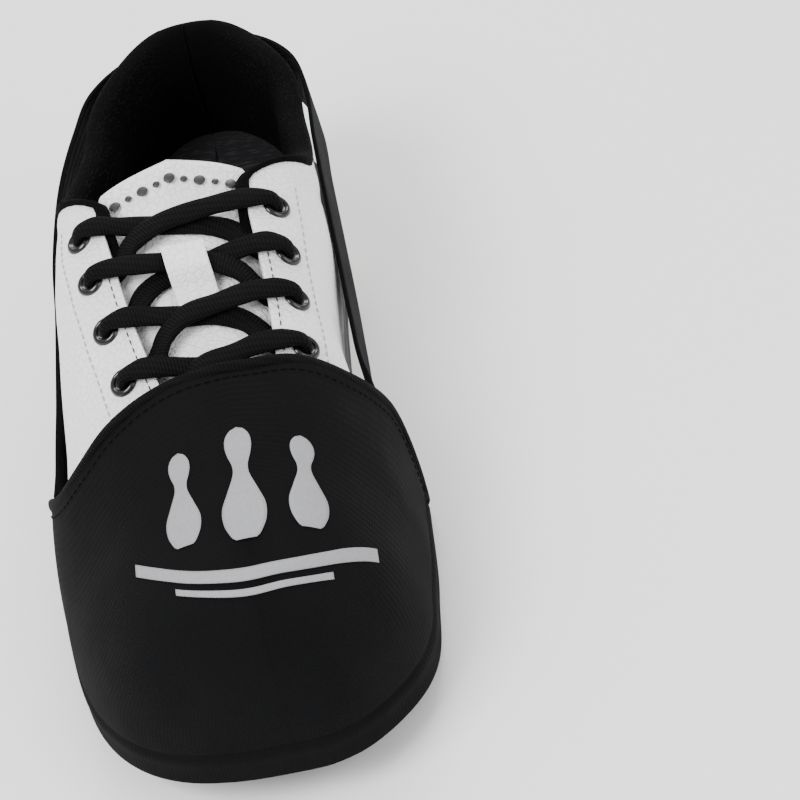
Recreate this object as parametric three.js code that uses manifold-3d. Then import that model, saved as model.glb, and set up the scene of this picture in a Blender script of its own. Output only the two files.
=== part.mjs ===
// A laced bowling shoe for the right foot, wearing a pull-on slide cover with an elastic heel strap.
// Millimetres. +X runs to the toe, +Y to the inner (medial) side of the foot, +Z up.
import * as THREE from "three";
import { mergeVertices } from "three/addons/utils/BufferGeometryUtils.js";
import Module from "manifold-3d";

const wasm = await Module();
wasm.setup();

// ---- driving dimensions ----
const SOLE_HALF = 150; // half of the outsole's length
const GAP = 0.3; // clearance between touching pieces
const INSET = 5; // the upper stands in from the edge of the sole
const FAN = 0.724; // ridge length over base length: how far the sections fan out
const LEATHER = 1.6;
const LINING = 1.0;
const STIFF = 1.2; // stiffeners at toe and heel
const COLLAR_PAD = 1.8;
const NEST = 0.8; // between one shell of the upper and the next
const TONGUE_TOP = -5.8; // face of the tongue, below the face of the upper
const TONGUE_LEATHER = 1.4;
const TONGUE_PAD = 3.5;
const LACE_R = 1.5;
const LACE_SIDES = 8;
const LACE_UNDER = -3.6; // lace centre below the facing
const LACE_OVER = -0.1; // upper lace of a crossing
const LACE_TOP = 3.0; // lace centre where it passes over an eyelet
const ROWS = 6;
const ROW_X0 = -19.3;
const ROW_STEP = 18.8;
const ROW_HALF = [32, 27.2]; // half the distance across, first and last row
const EYELET = { flange: 4.8, hole: 2.8, barrel: 3.3, height: 0.9, depth: 1.4, sides: 12 };
const FRONT_SEAM = 97; // where the quarters end on the vamp, measured at the base
const PUFF_START = 118;
const COVER_WALL = 1.8;
const COVER_CLEAR = 2.4; // cover's inner face outside the sole's edge
const COVER_BASE = 1.7; // thickness of the slick panel under the ball
const BINDING_R = 1.5;
const STRAP = { width: 22, thick: 1.8 };

// ---- smooth profiles through a few design points ----
function profile(...knots) {
  const slope = (i) => {
    const a = knots[Math.max(i - 1, 0)];
    const b = knots[Math.min(i + 1, knots.length - 1)];
    return (b[1] - a[1]) / (b[0] - a[0]);
  };
  return (x) => {
    if (x <= knots[0][0]) return knots[0][1];
    if (x >= knots.at(-1)[0]) return knots.at(-1)[1];
    let i = 0;
    while (x > knots[i + 1][0]) i += 1;
    const d = knots[i + 1][0] - knots[i][0];
    const u = (x - knots[i][0]) / d;
    const rise = knots[i + 1][1] - knots[i][1];
    const m0 = slope(i) * d;
    const m1 = slope(i + 1) * d;
    return knots[i][1] + m0 * u + (3 * rise - 2 * m0 - m1) * u * u + (m0 + m1 - 2 * rise) * u ** 3;
  };
}

const centreY = profile([-150, 0.5], [40, 0], [85, 1.6], [120, 6], [150, 10]);
const spreadLateral = profile(
  [-150, 50], [-115, 52.2], [-80, 46.5], [-45, 49.7], [0, 55], [40, 60.7], [85, 63.8], [120, 69.3], [150, 72],
);
const spreadMedial = profile(
  [-150, 50], [-115, 52.9], [-80, 44.2], [-45, 38.5], [0, 38], [40, 50.2], [85, 56.5], [120, 55.6], [150, 42],
);
const featherZ = profile([-145, 34], [-100, 31], [-50, 24], [0, 18.5], [40, 17.5], [70, 18.5], [100, 22],
  [125, 27.5], [145, 34]);
const slideZ = profile([-62, 4.8], [-40, 3.5], [-15, 2], [75, 2], [100, 4.5], [125, 10], [150, 17]);
const ridgeY = profile(
  [-105, 0.5], [-50, -4.2], [-19, -4.4], [0, -1.8], [20, 1.2], [40, 4.2], [74, 8.4], [105, 9],
);
const crownZ = profile([-105, 150], [-60, 118], [-42, 103], [-30, 97], [-20, 94], [0, 89.5], [20, 83.8],
  [40, 77.2], [60, 72.6], [77, 69.5], [90, 66.2], [99, 64.5], [105, 64]);
// How square the sections are: 2 is an ellipse, and higher powers have flatter tops and sides.
const powerLateral = profile(
  [-145, 3.2], [-60, 4.6], [-20, 4.6], [0, 3.9], [20, 2.9], [40, 2.35], [90, 1.95], [145, 2.1],
);
const powerMedial = profile(
  [-145, 3.2], [-60, 4.6], [-20, 4.6], [0, 4.2], [20, 3.6], [40, 3], [90, 2.2], [145, 2.1],
);

// Position along the half loop (0 heel, 1 toe) of the base point at x, and back again.
const HALF = SOLE_HALF;
const loopX = (a) => -HALF * Math.cos((Math.PI / 2) * (1 - Math.cos(Math.PI * a)));
const loopAt = (x) => {
  const angle = Math.acos(THREE.MathUtils.clamp(-x / HALF, -1, 1));
  return Math.acos(1 - (2 * angle) / Math.PI) / Math.PI;
};

// The sole's plan outline. c runs 0 (heel), lateral side, 1 (toe), medial side, 2 (heel again).
function outline(c, widen = () => 0) {
  const turn = ((c % 2) + 2) % 2;
  const lateral = turn <= 1;
  const x = loopX(lateral ? turn : 2 - turn);
  const round = (1 - (x / HALF) ** 2) ** (0.35 - 0.05 * (x / HALF));
  const spread = lateral ? -spreadLateral(x) : spreadMedial(x) + widen(x);
  return new THREE.Vector2(x, centreY(x) + spread * round);
}

const NUDGE = 0.004;

function insetLoop(c, inset, widen) {
  const p = outline(c, widen);
  const along = outline(c + NUDGE, widen).sub(outline(c - NUDGE, widen)).normalize();
  return new THREE.Vector2(p.x - along.y * inset, p.y + along.x * inset);
}

// A domed form over the outline: c goes round the base, t climbs from the base (0) to the ridge (1).
class Form {
  constructor(shape) {
    Object.assign(this, shape);
  }
  base(c) {
    return insetLoop(c, this.inset, this.widen);
  }
  ridge(base) {
    const x = FAN * base.x;
    return new THREE.Vector2(x, ridgeY(x));
  }
  point(c, t) {
    if (t > 1) return this.point(2 - c, 2 - t);
    const base = this.base(c);
    const ridge = this.ridge(base);
    const angle = (Math.PI / 2) * Math.max(t, 0);
    const n = this.power(base.x, c);
    const r = (Math.cos(angle) ** n + Math.sin(angle) ** n) ** (-1 / n);
    const across = 1 - r * Math.cos(angle);
    const up = r * Math.sin(angle);
    const low = this.baseZ(base.x);
    const p = base.clone().lerp(ridge, across);
    const swell = this.swell(base) * (1 - (2 * Math.min(up, 1) - 1) ** 4);
    const side = base.clone().sub(ridge).normalize();
    p.addScaledVector(side, swell);
    return new THREE.Vector3(p.x, p.y, low + up * (this.crown(ridge.x) - low));
  }
  normal(c, t) {
    const high = Math.min(t, 0.97);
    const dc = this.point(c + NUDGE, high).sub(this.point(c - NUDGE, high));
    const dt = this.point(c, t + 0.01).sub(this.point(c, Math.max(t - 0.01, 0)));
    return dc.cross(dt).normalize();
  }
  offset(c, t, n) {
    return this.point(c, t).addScaledVector(this.normal(c, t), n);
  }
  // t of a height z above the base point, and t of a distance from the ridge line.
  tAtZ(c, z) {
    const base = this.base(c);
    const low = this.baseZ(base.x);
    const up = THREE.MathUtils.clamp((z - low) / (this.crown(FAN * base.x) - low), 0, 1);
    const n = this.power(base.x, c);
    return (Math.atan2(up, (1 - up ** n) ** (1 / n)) * 2) / Math.PI;
  }
  tAtHalf(c, half) {
    const ridge = this.ridge(this.base(c));
    let low = 0.2;
    let high = 1;
    for (let i = 0; i < 24; i += 1) {
      const t = (low + high) / 2;
      const p = this.point(c, t);
      if (Math.hypot(p.x - ridge.x, p.y - ridge.y) > half) low = t;
      else high = t;
    }
    return (low + high) / 2;
  }
  // Loop position and height parameter of a plan point: x, and the signed distance from the ridge line.
  locate(x, half) {
    let baseX = x;
    let place = null;
    for (let i = 0; i < 10; i += 1) {
      const a = loopAt((baseX * HALF) / (HALF - this.inset));
      const c = half < 0 ? a : 2 - a;
      place = { c, t: this.tAtHalf(c, Math.abs(half)) };
      baseX += x - this.point(place.c, place.t).x;
    }
    return place;
  }
  at(x, half, n) {
    const { c, t } = this.locate(x, half);
    return this.offset(c, t, n);
  }
}

const gauss = (x, mid, width) => Math.exp(-(((x - mid) / width) ** 2));
const upper = new Form({
  inset: INSET,
  widen: () => 0,
  baseZ: (x) => featherZ(x) + GAP,
  crown: crownZ,
  power: (x, c) => (((c % 2) + 2) % 2 <= 1 ? powerLateral(x) : powerMedial(x)),
  swell: (b) => (b.y < 0 ? 5.5 * gauss(b.x, -50, 45) : 9 * gauss(b.x, -32, 48)),
});
// The strap side of the cover spans the arch, so it stands wider than the sole's waist there.
const coverWiden = profile([-150, 0], [-20, 20], [0, 14.5], [40, 4], [80, 0.3], [90, 0]);
const coverForm = new Form({
  inset: -COVER_CLEAR,
  widen: (x) => Math.max(0, coverWiden(x)),
  baseZ: (x) => slideZ(x) - COVER_BASE + 2 * GAP,
  crown: profile([30, 86], [45, 83], [54, 81], [62, 79], [75, 75.5], [90, 71.8], [103, 69.8], [110, 69.5]),
  power: profile([40, 2.4], [100, 2.2], [152, 2.8]),
  swell: () => 0,
});

const at = (baseX, side) => {
  const a = loopAt((baseX * HALF) / (HALF - INSET));
  return side < 0 ? a : 2 - a;
};
const wrap = (c) => (c > 1.5 ? c - 2 : c);

// ---- solids ----
const group = new THREE.Group();

function add(name, geometry, colour) {
  geometry.deleteAttribute("uv");
  geometry.deleteAttribute("normal");
  const welded = mergeVertices(geometry, 1e-4);
  const flat = dropFlat(welded);
  flat.computeVertexNormals();
  const mesh = new THREE.Mesh(flat, new THREE.MeshStandardMaterial({ color: colour }));
  mesh.name = name;
  group.add(mesh);
  return mesh;
}

// Triangles that have lost an edge in welding are left out.
function dropFlat(geometry) {
  const kept = [];
  const index = geometry.index.array;
  for (let i = 0; i < index.length; i += 3) {
    const corners = index.slice(i, i + 3);
    if (new Set(corners).size === 3) kept.push(...corners);
  }
  geometry.setIndex(kept);
  return geometry;
}

// A closed solid between two grids of points. Rows run along the first index; a folded end has no wall.
function slab(outer, inner, { foldStart = false, foldEnd = false } = {}) {
  const rows = outer.length;
  const cols = outer[0].length;
  const points = [...outer.flat(), ...inner.flat()].flatMap((p) => [p.x, p.y, p.z]);
  const o = (i, j) => i * cols + j;
  const n = (i, j) => rows * cols + i * cols + j;
  const index = [];
  const quad = (a, b, c, d) => index.push(a, b, c, a, c, d);
  for (let i = 0; i < rows - 1; i += 1) {
    for (let j = 0; j < cols - 1; j += 1) {
      quad(o(i, j), o(i + 1, j), o(i + 1, j + 1), o(i, j + 1));
      quad(n(i, j), n(i, j + 1), n(i + 1, j + 1), n(i + 1, j));
    }
    quad(o(i, 0), n(i, 0), n(i + 1, 0), o(i + 1, 0));
    quad(o(i, cols - 1), o(i + 1, cols - 1), n(i + 1, cols - 1), n(i, cols - 1));
  }
  for (let j = 0; j < cols - 1; j += 1) {
    if (!foldStart) quad(o(0, j), o(0, j + 1), n(0, j + 1), n(0, j));
    if (!foldEnd) quad(o(rows - 1, j), n(rows - 1, j), n(rows - 1, j + 1), o(rows - 1, j + 1));
  }
  const geometry = new THREE.BufferGeometry();
  geometry.setAttribute("position", new THREE.Float32BufferAttribute(points, 3));
  geometry.setIndex(index);
  return facingOut(geometry);
}

function facingOut(geometry) {
  const p = geometry.attributes.position;
  const v = (i) => new THREE.Vector3().fromBufferAttribute(p, i);
  const index = geometry.index.array;
  let volume = 0;
  for (let i = 0; i < index.length; i += 3) {
    volume += v(index[i]).dot(v(index[i + 1]).cross(v(index[i + 2])));
  }
  if (volume < 0) {
    const turned = [];
    for (let i = 0; i < index.length; i += 3) turned.push(index[i], index[i + 2], index[i + 1]);
    geometry.setIndex(turned);
  }
  return geometry;
}

function span(from, to, steps) {
  return Array.from({ length: steps + 1 }, (_, i) => from + ((to - from) * i) / steps);
}

// A shell on a form, up one side: columns at loop positions, from tLow to tHigh, between two offsets.
function sideShell(form, columns, tLow, tHigh, steps, low, high) {
  const column = (c, n) => span(tLow(c), tHigh(c), steps).map((t) => form.offset(c, t, n(c, t)));
  const grid = (n) => columns.map((c) => column(c, n));
  return slab(grid(high), grid(low));
}

// A shell that crosses the ridge: columns at lateral loop positions, w from -1 (lateral base) to 1 (medial).
function acrossShell(form, columns, wLow, wHigh, steps, low, high, fold = {}) {
  const place = (c, w, n) => {
    const t = 1 - Math.abs(w);
    return form.offset(w < 0 ? c : 2 - c, t, n);
  };
  const column = (c, n) => span(wLow(c), wHigh(c), steps).map((w) => place(c, w, n(c, w)));
  const grid = (n) => columns.map((c) => column(c, n));
  return slab(grid(high), grid(low), fold);
}

// A flat layer following the outline, from one loop position to another, between two height profiles.
function layer(xs, inset, bottom, top, limit = Infinity) {
  const ring = xs.map((x) => {
    const a = loopAt(x);
    return [insetLoop(a, inset), insetLoop(2 - a, inset)].map(
      (p) => new THREE.Vector2(p.x, THREE.MathUtils.clamp(p.y, -limit, limit)),
    );
  });
  const grid = (z) => ring.map((pair) => pair.map((p) => new THREE.Vector3(p.x, p.y, z(p.x))));
  const tip = (x) => Math.abs(Math.abs(x) - HALF) < 1e-6;
  return slab(grid(top), grid(bottom), { foldStart: tip(xs[0]), foldEnd: tip(xs.at(-1)) });
}

function toManifold(geometry) {
  geometry.deleteAttribute("normal");
  geometry.deleteAttribute("uv");
  const welded = dropFlat(mergeVertices(geometry, 1e-4));
  return new wasm.Manifold(new wasm.Mesh({
    numProp: 3,
    vertProperties: new Float32Array(welded.attributes.position.array),
    triVerts: new Uint32Array(welded.index.array),
  }));
}

function fromManifold(solid) {
  const mesh = solid.getMesh();
  const geometry = new THREE.BufferGeometry();
  geometry.setAttribute("position", new THREE.Float32BufferAttribute(mesh.vertProperties, 3));
  geometry.setIndex([...mesh.triVerts]);
  return geometry;
}

// ---- sole, from the ground up ----
const HEEL_XS = [-150, -149.4, -147.5, -143.5, -137, -128, -116, -102, -87];
const TOE_XS = [85, 98, 110, 121, 130, 138, 144, 147.6, 149.4, 150];
const heelTop = 7;
const HEEL_IN = 0.6;
const SLIDE_IN = 0.8;
const SLIDE_THICK = 2;
const slideTop = (x) => slideZ(x) + SLIDE_THICK;
const SLIDE_XS = [-62, -45, -30, -15, 10, 35, 60, ...TOE_XS];
add("heel_pad", layer([...HEEL_XS, -72], HEEL_IN, () => 0, () => heelTop), 0xe9e2cf);
add("slide_sole", layer(SLIDE_XS, SLIDE_IN, slideZ, slideTop), 0xe6dcc4);
const midBottom = (x) => (x < -64 ? heelTop : slideTop(x)) + GAP;
const MID_XS = [...HEEL_XS, -72, -58, -45, -30, -15, 10, 35, 60, ...TOE_XS];
add("midsole", layer(MID_XS, 0, midBottom, featherZ), 0x1b1b1d);
const WALL = INSET + LEATHER + NEST + STIFF + NEST + 1; // clear of the upper's stiffeners
const SHANK_HALF = 7;
const FILLER_XS = [10, 30, 50, 70, 90, 106, 120, 130];
const soleFace = (x) => featherZ(x) + GAP;
const shankTop = (x) => soleFace(x) + 1;
add("shank", layer([-96, -72, -48, -24, 4], 0, soleFace, shankTop, SHANK_HALF), 0x9a9da1);
add("bottom_filler", layer(FILLER_XS, WALL + 1, soleFace, shankTop), 0xb08a5a);
const BOARD_XS = [...HEEL_XS, -72, -45, -20, 10, 35, 60, ...TOE_XS];
const boardLow = (x) => shankTop(x) + GAP;
const BOARD_THICK = 1.8;
const BED_THICK = 3.2;
const boardTop = (x) => boardLow(x) + BOARD_THICK;
add("insole_board", layer(BOARD_XS, WALL, boardLow, boardTop), 0xc8b58c);
const bedLow = (x) => boardTop(x) + GAP;
add("footbed", layer(BOARD_XS, WALL + 0.4, bedLow, (x) => bedLow(x) + BED_THICK), 0x2a2a2c);

// ---- upper ----
const zero = () => 0;
const topline = profile([-145, 84], [-110, 79], [-85, 76], [-62, 76.5], [-50, 82], [-41, 92]);
const facingHalf = profile([-33, 24.5], [-10, 23], [20, 21.5], [50, 18.5], [77, 14]);
const FACING_TOP = -33; // base x of the facing's upper corner
function quarterTop(c) {
  const x = upper.base(c).x;
  if (x <= -50) return upper.tAtZ(c, topline(x));
  const edge = upper.tAtHalf(c, facingHalf(x * 0.86));
  if (x >= FACING_TOP) return edge;
  const u = (x + 50) / (FACING_TOP + 50);
  const corner = upper.tAtHalf(c, facingHalf(FACING_TOP));
  return THREE.MathUtils.lerp(upper.tAtZ(c, topline(-50)), corner, u ** 1.3);
}

const seam = 0.0035; // half the gap at the heel seam, in loop units
const QUARTER_XS = [
  -145, -144.7, -141, -134, -124, -111, -96, -80, -66, -56, -50, -45, -41, FACING_TOP, -28, -14, 0, 15, 30,
  45, 60, 74, 86, FRONT_SEAM - GAP,
];
const HOLE_R = EYELET.barrel + GAP;
const DRILL = 8; // long enough to pass through the curved leather
const centreHalf = (row) => THREE.MathUtils.lerp(...ROW_HALF, row / (ROWS - 1));
const rowX = (row) => ROW_X0 + ROW_STEP * row;

function placed(geometry, x, half, n) {
  const { c, t } = upper.locate(x, half);
  const turn = new THREE.Quaternion().setFromUnitVectors(new THREE.Vector3(0, 1, 0), upper.normal(c, t));
  const p = upper.offset(c, t, n);
  return geometry.applyQuaternion(turn).translate(p.x, p.y, p.z);
}

for (const [side, name] of [[-1, "quarter_lateral"], [1, "quarter_medial"]]) {
  const columns = QUARTER_XS.map((x) => at(x, side));
  columns[0] = side < 0 ? seam : 2 - seam;
  let solid = toManifold(sideShell(upper, columns, zero, quarterTop, 8, () => -LEATHER, zero));
  for (let row = 0; row < ROWS; row += 1) {
    const drill = new THREE.CylinderGeometry(HOLE_R, HOLE_R, DRILL, EYELET.sides);
    solid = solid.subtract(toManifold(placed(drill, rowX(row), side * centreHalf(row), 0)));
  }
  add(name, fromManifold(solid), 0xf2f1ed);
}

const TOE_BASE_XS = [104, 112, 120, 127, 133, 138, 141.5, 143.6, 144.7, 145];
const vampColumns = [FRONT_SEAM, ...TOE_BASE_XS].map((x) => at(x, -1));
const full = () => 1;
const minus = () => -1;
const vamp = acrossShell(upper, vampColumns, minus, full, 12, () => -LEATHER, zero, { foldEnd: true });
add("vamp", vamp, 0xf4f3ef);
const puffOut = -LEATHER - NEST;
const puffColumns = [PUFF_START, ...TOE_BASE_XS.slice(3)].map((x) => at(x, -1));
const EDGE = 0.97; // inner layers stop just above the sole
const edgeLow = () => -EDGE;
const edgeHigh = () => EDGE;
const puffIn = () => puffOut - STIFF;
const puff = acrossShell(upper, puffColumns, edgeLow, edgeHigh, 8, puffIn, () => puffOut, { foldEnd: true });
add("toe_puff", puff, 0xcbbf9f);
const liningOut = puffOut;
const liningIn = liningOut - LINING;
const vampLining = [100, 104, 112, PUFF_START - 1].map((x) => at(x, -1));
const toeLining = acrossShell(upper, vampLining, edgeLow, edgeHigh, 8, () => liningIn, () => liningOut);
add("vamp_lining", toeLining, 0x1d1d1f);
const belowRows = (c) => upper.tAtHalf(c, 31) - 0.14; // the side lining stays clear of the eyelets' backs
for (const [side, name] of [[-1, "quarter_lining_lateral"], [1, "quarter_lining_medial"]]) {
  const columns = [-14, 0, 15, 30, 45, 60, 74, 86, 96].map((x) => at(x, side));
  const lining = sideShell(upper, columns, () => 0.02, belowRows, 5, () => liningIn, () => liningOut);
  add(name, lining, 0x1d1d1f);
}

// Rear pieces run round the heel from the medial to the lateral side.
const around = (xs) => [...xs.map((x) => at(x, 1) - 2), 0, ...xs.toReversed().map((x) => at(x, -1))];
const backColumns = around([-124, -134, -141, -144.7]);
const STRIP_TOP = 82;
const STRIP = [GAP + 0.2, GAP + 1.3]; // its two faces, outside the quarters
add("backstay", sideShell(upper, backColumns, zero, (c) => upper.tAtZ(c, STRIP_TOP), 5, () => STRIP[0],
  () => STRIP[1]), 0xefeeea);
const counterColumns = around([-80, -96, -111, -124, -134, -141, -144.7]);
add("heel_counter", sideShell(upper, counterColumns, () => 0.02, (c) => upper.tAtZ(c, 60), 4,
  () => puffOut - STIFF, () => puffOut), 0xcbbf9f);
const padOut = puffOut - STIFF - NEST;
const collarColumns = around([-26, -37, -41, -45, -50, -56, -66, -80, -96, -111, -124, -134, -141, -144.7]);
const collarTop = (c) => Math.min(quarterTop(c), upper.tAtHalf(c, 36));
add("collar_lining", sideShell(upper, collarColumns, () => 0.06, collarTop, 6, () => padOut - COLLAR_PAD,
  () => padOut), 0x18181a);

// ---- tongue ----
const tongueHalf = profile([-40, 24], [-36, 26.5], [-20, 28], [20, 27], [66, 22], [90, 20]);
const tipLift = profile([-39, 6.5], [-34, 3.4], [-28, 0.6], [-22, 0]); // the tip stands up out of the collar
const TONGUE_COLS = 8;
const TIP_BACK = 5; // the tip's corners lie this far forward of its middle
function tonguePiece(xs, depth, thick) {
  const grid = (lift) => xs.map((x) => span(-1, 1, TONGUE_COLS).map((w) => {
    const bend = TIP_BACK * w * w * THREE.MathUtils.clamp((-20 - x) / 25, 0, 1);
    return upper.at(x + bend, tongueHalf(x) * (w || 1e-6), TONGUE_TOP - depth(x) + tipLift(x) + lift(x));
  }));
  return slab(grid(zero), grid((x) => -thick(x)));
}
const tongueXs = [-29, -22, -12, 0, 12, 24, 36, 48, 60, 71, 81];
const padDepth = () => TONGUE_LEATHER + GAP;
add("tongue", tonguePiece(tongueXs, zero, () => TONGUE_LEATHER), 0xf4f3ef);
add("tongue_lining", tonguePiece(tongueXs.slice(0, -1), padDepth, () => TONGUE_PAD), 0x18181a);
const tipThick = profile([-39, 2.2], [-36, 4.4], [-32, TONGUE_LEATHER + GAP + TONGUE_PAD]);
add("tongue_tip", tonguePiece([-39, -37.2, -34.5, -31.3], zero, tipThick), 0xf4f3ef);

const ON_TONGUE = TONGUE_TOP + GAP;
const keeperRise = profile(
  [-7, ON_TONGUE], [-5.6, ON_TONGUE], [-2.5, 1.9], [1.5, 2.2], [6.5, 1.9], [12, ON_TONGUE], [17, ON_TONGUE],
);
const KEEPER = { half: 5.5, thick: 1.2, xs: [-7, -5.6, -4.2, -2.5, 1.5, 6.5, 9.2, 12, 17] };
const keeperRow = (x, lift) =>
  [-KEEPER.half, 0, KEEPER.half].map((half) => upper.at(x, half || 1e-6, keeperRise(x) + lift));
const keeperGrid = (lift) => KEEPER.xs.map((x) => keeperRow(x, lift));
add("tongue_keeper", slab(keeperGrid(KEEPER.thick), keeperGrid(0)), 0xf2f1ed);

// ---- eyelets ----
const eyeletProfile = [
  [EYELET.hole, -EYELET.depth],
  [EYELET.barrel, -EYELET.depth],
  [EYELET.barrel, GAP],
  [EYELET.flange, GAP],
  [EYELET.flange - 0.3, GAP + EYELET.height * 0.7],
  [EYELET.hole + 0.7, GAP + EYELET.height],
  [EYELET.hole, GAP + EYELET.height * 0.5],
  [EYELET.hole, -EYELET.depth],
].map(([x, y]) => new THREE.Vector2(x, y));
for (let row = 0; row < ROWS; row += 1) {
  for (const [side, name] of [[-1, "lateral"], [1, "medial"]]) {
    const lathe = new THREE.LatheGeometry(eyeletProfile, EYELET.sides);
    const ring = placed(lathe, rowX(row), side * centreHalf(row), 0);
    ring.deleteAttribute("uv");
    ring.deleteAttribute("normal");
    add(`eyelet_${name}_${row + 1}`, facingOut(dropFlat(mergeVertices(ring, 1e-4))), 0x0c0c0d);
  }
}

// ---- lace: one cord, up through every eyelet from below and across to the next row ----
class Route extends THREE.CatmullRomCurve3 {
  getPointAt(u) {
    return this.getPoint(u);
  }
  getTangentAt(u) {
    return this.getTangent(u);
  }
}

const TURN_LOW = LACE_UNDER - 0.3;
const TURN_R = (LACE_TOP - TURN_LOW) / 2;
const TURN_MID = (LACE_TOP + TURN_LOW) / 2;
// Half turn through an eyelet, from below to above, on the side of the centre line given by side.
function turnUp(side, row) {
  const { c, t } = upper.locate(rowX(row), side * centreHalf(row));
  const hole = upper.point(c, t);
  const out = upper.normal(c, t);
  const inward = upper.at(rowX(row), side * (centreHalf(row) - 1), 0).sub(hole);
  inward.addScaledVector(out, -inward.dot(out)).normalize();
  return [-90, -45, 0, 45, 90].map((deg) => {
    const a = THREE.MathUtils.degToRad(deg);
    const p = hole.clone().addScaledVector(out, TURN_MID + TURN_R * Math.sin(a));
    return p.addScaledVector(inward, TURN_R * (1 - Math.cos(a)));
  });
}

// One pass from an eyelet, across over the tongue, to below the eyelet of the next row on the other side.
function crossing(side, row, over) {
  const level = over ? LACE_OVER : LACE_UNDER;
  const near = facingHalf(rowX(row));
  const far = facingHalf(rowX(row + 1));
  const steps = [
    [near + 1, 0.01, 2.5],
    [near - 6, 0.03, over ? 1.2 : -0.9],
    [5.5, 0.08, level],
    [-5.5, 0.2, level],
    [6.5 - far, 0.45, over ? -1.9 : LACE_UNDER],
    [1.5 - far, 0.75, LACE_UNDER],
  ];
  return steps.map(([half, u, n]) => upper.at(rowX(row) + ROW_STEP * u, side * half, n));
}

// Which side's lace lies on top at each crossing, from the first row to the last.
const ON_TOP = [1, -1, 1, 1, -1];
function run(start) {
  let side = start;
  const path = turnUp(side, 0);
  for (let row = 0; row < ROWS - 1; row += 1) {
    path.push(...crossing(side, row, ON_TOP[row] === side));
    side = -side;
    path.push(...turnUp(side, row + 1));
  }
  return path;
}

const TUCK_N = -7.2; // the tucked ends lie against the lining
function tucked(side) {
  const places = [[-19, 30, LACE_UNDER - 2], [-16, 38, TUCK_N]];
  const down = places.map(([x, half, n]) => upper.at(x, side * half, n));
  const wall = [[-12, 72], [-2, 62], [8, 56], [18, 53], [28, 51], [38, 49], [48, 47]].map(([x, z]) => {
    const c = at(x, side);
    return upper.offset(c, upper.tAtZ(c, z), TUCK_N);
  });
  return [...down, ...wall];
}

const bar = [0.16, 0.34, 0.5, 0.66, 0.84].map((f) => {
  const half = centreHalf(ROWS - 1) * (2 * f - 1);
  return upper.at(rowX(ROWS - 1), half, 2.3);
});
const ends = { [-1]: tucked(-1), 1: tucked(1) };
const barWay = run(1).at(-1).y < run(-1).at(-1).y ? [1, -1] : [-1, 1];
const route = [
  ...ends[barWay[0]].toReversed(),
  ...run(barWay[0]),
  ...bar,
  ...run(barWay[1]).toReversed(),
  ...ends[barWay[1]],
];
const tube = (points, radius, sides) => {
  const path = new Route(points, false, "centripetal");
  const angles = span(0, 2 * Math.PI, sides).slice(0, -1);
  const circle = angles.map((a) => new THREE.Vector2(radius * Math.cos(a), radius * Math.sin(a)));
  const settings = { steps: points.length - 1, extrudePath: path, bevelEnabled: false };
  return new THREE.ExtrudeGeometry(new THREE.Shape(circle), settings);
};
add("lace", tube(route, LACE_R, LACE_SIDES), 0x141415);
const AGLET = { length: 20, r: 1.4 };
for (const [side, name] of [[-1, "aglet_lateral"], [1, "aglet_medial"]]) {
  const [before, last] = ends[side].slice(-2);
  const along = last.clone().sub(before).normalize();
  const stop = last.clone().addScaledVector(along, GAP);
  add(name, tube([stop, stop.clone().addScaledVector(along, AGLET.length)], AGLET.r, LACE_SIDES), 0x202022);
}

// ---- slide cover ----
const coverAt = (baseX) => loopAt((baseX * HALF) / (HALF + COVER_CLEAR));
// Base x of the mouth's edge at each height parameter, on either side: it runs back to a corner at the strap.
const mouthLateral = profile(
  [0, 34], [0.12, 34.5], [0.22, 38], [0.32, 53], [0.41, 62], [0.52, 66], [0.65, 66], [0.85, 68], [1, 71.5],
);
const mouthMedial = profile(
  [0, 41], [0.15, 39.5], [0.3, 38], [0.42, 44], [0.52, 49.5], [0.7, 57], [0.87, 66.5], [1, 71.5],
);
const mouthX = (w) => (w < 0 ? mouthLateral : mouthMedial)(1 - Math.abs(w));
const coverSteps = [0, 0.1, 0.2, 0.3, 0.41, 0.52, 0.63, 0.72, 0.8, 0.87, 0.93, 0.975, 1];
const coverRows = span(-1, 1, 18);
const coverGrid = (n) => coverSteps.map((u) => coverRows.map((w) => {
  const a = THREE.MathUtils.lerp(coverAt(mouthX(w)), 1, u);
  return coverForm.offset(w < 0 ? a : 2 - a, 1 - Math.abs(w), n);
}));
add("slide_cover_top", slab(coverGrid(COVER_WALL), coverGrid(0), { foldEnd: true }), 0x2b2b2e);
const coverBottom = (x) => slideZ(x) - COVER_BASE - GAP;
const PANEL_START = 30;
const PANEL_IN = 0.8; // the panel lies this far inside the dome
const panel = coverSteps.map((u) => {
  const a = THREE.MathUtils.lerp(coverAt(PANEL_START), 1, u);
  const inset = PANEL_IN - COVER_CLEAR;
  return [insetLoop(a, inset), insetLoop(2 - a, inset, coverForm.widen)];
});
const panelPoint = (p, lift) => new THREE.Vector3(p.x, p.y, coverBottom(p.x) + lift);
const panelGrid = (lift) => panel.map((pair) => pair.map((p) => panelPoint(p, lift)));
add("slide_cover_sole", slab(panelGrid(COVER_BASE), panelGrid(0), { foldEnd: true }), 0x1f1f21);
const BINDING_BACK = BINDING_R + GAP + 1.2; // the edge slopes, so the binding stands a little further back
const rim = [-0.97, ...coverRows.slice(1, -1), 0.97].map((w) => {
  const a = coverAt(mouthX(w) - BINDING_BACK);
  return coverForm.offset(w < 0 ? a : 2 - a, 1 - Math.abs(w), COVER_WALL / 2);
});
add("cover_binding", tube(rim, BINDING_R, LACE_SIDES), 0x161618);

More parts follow.
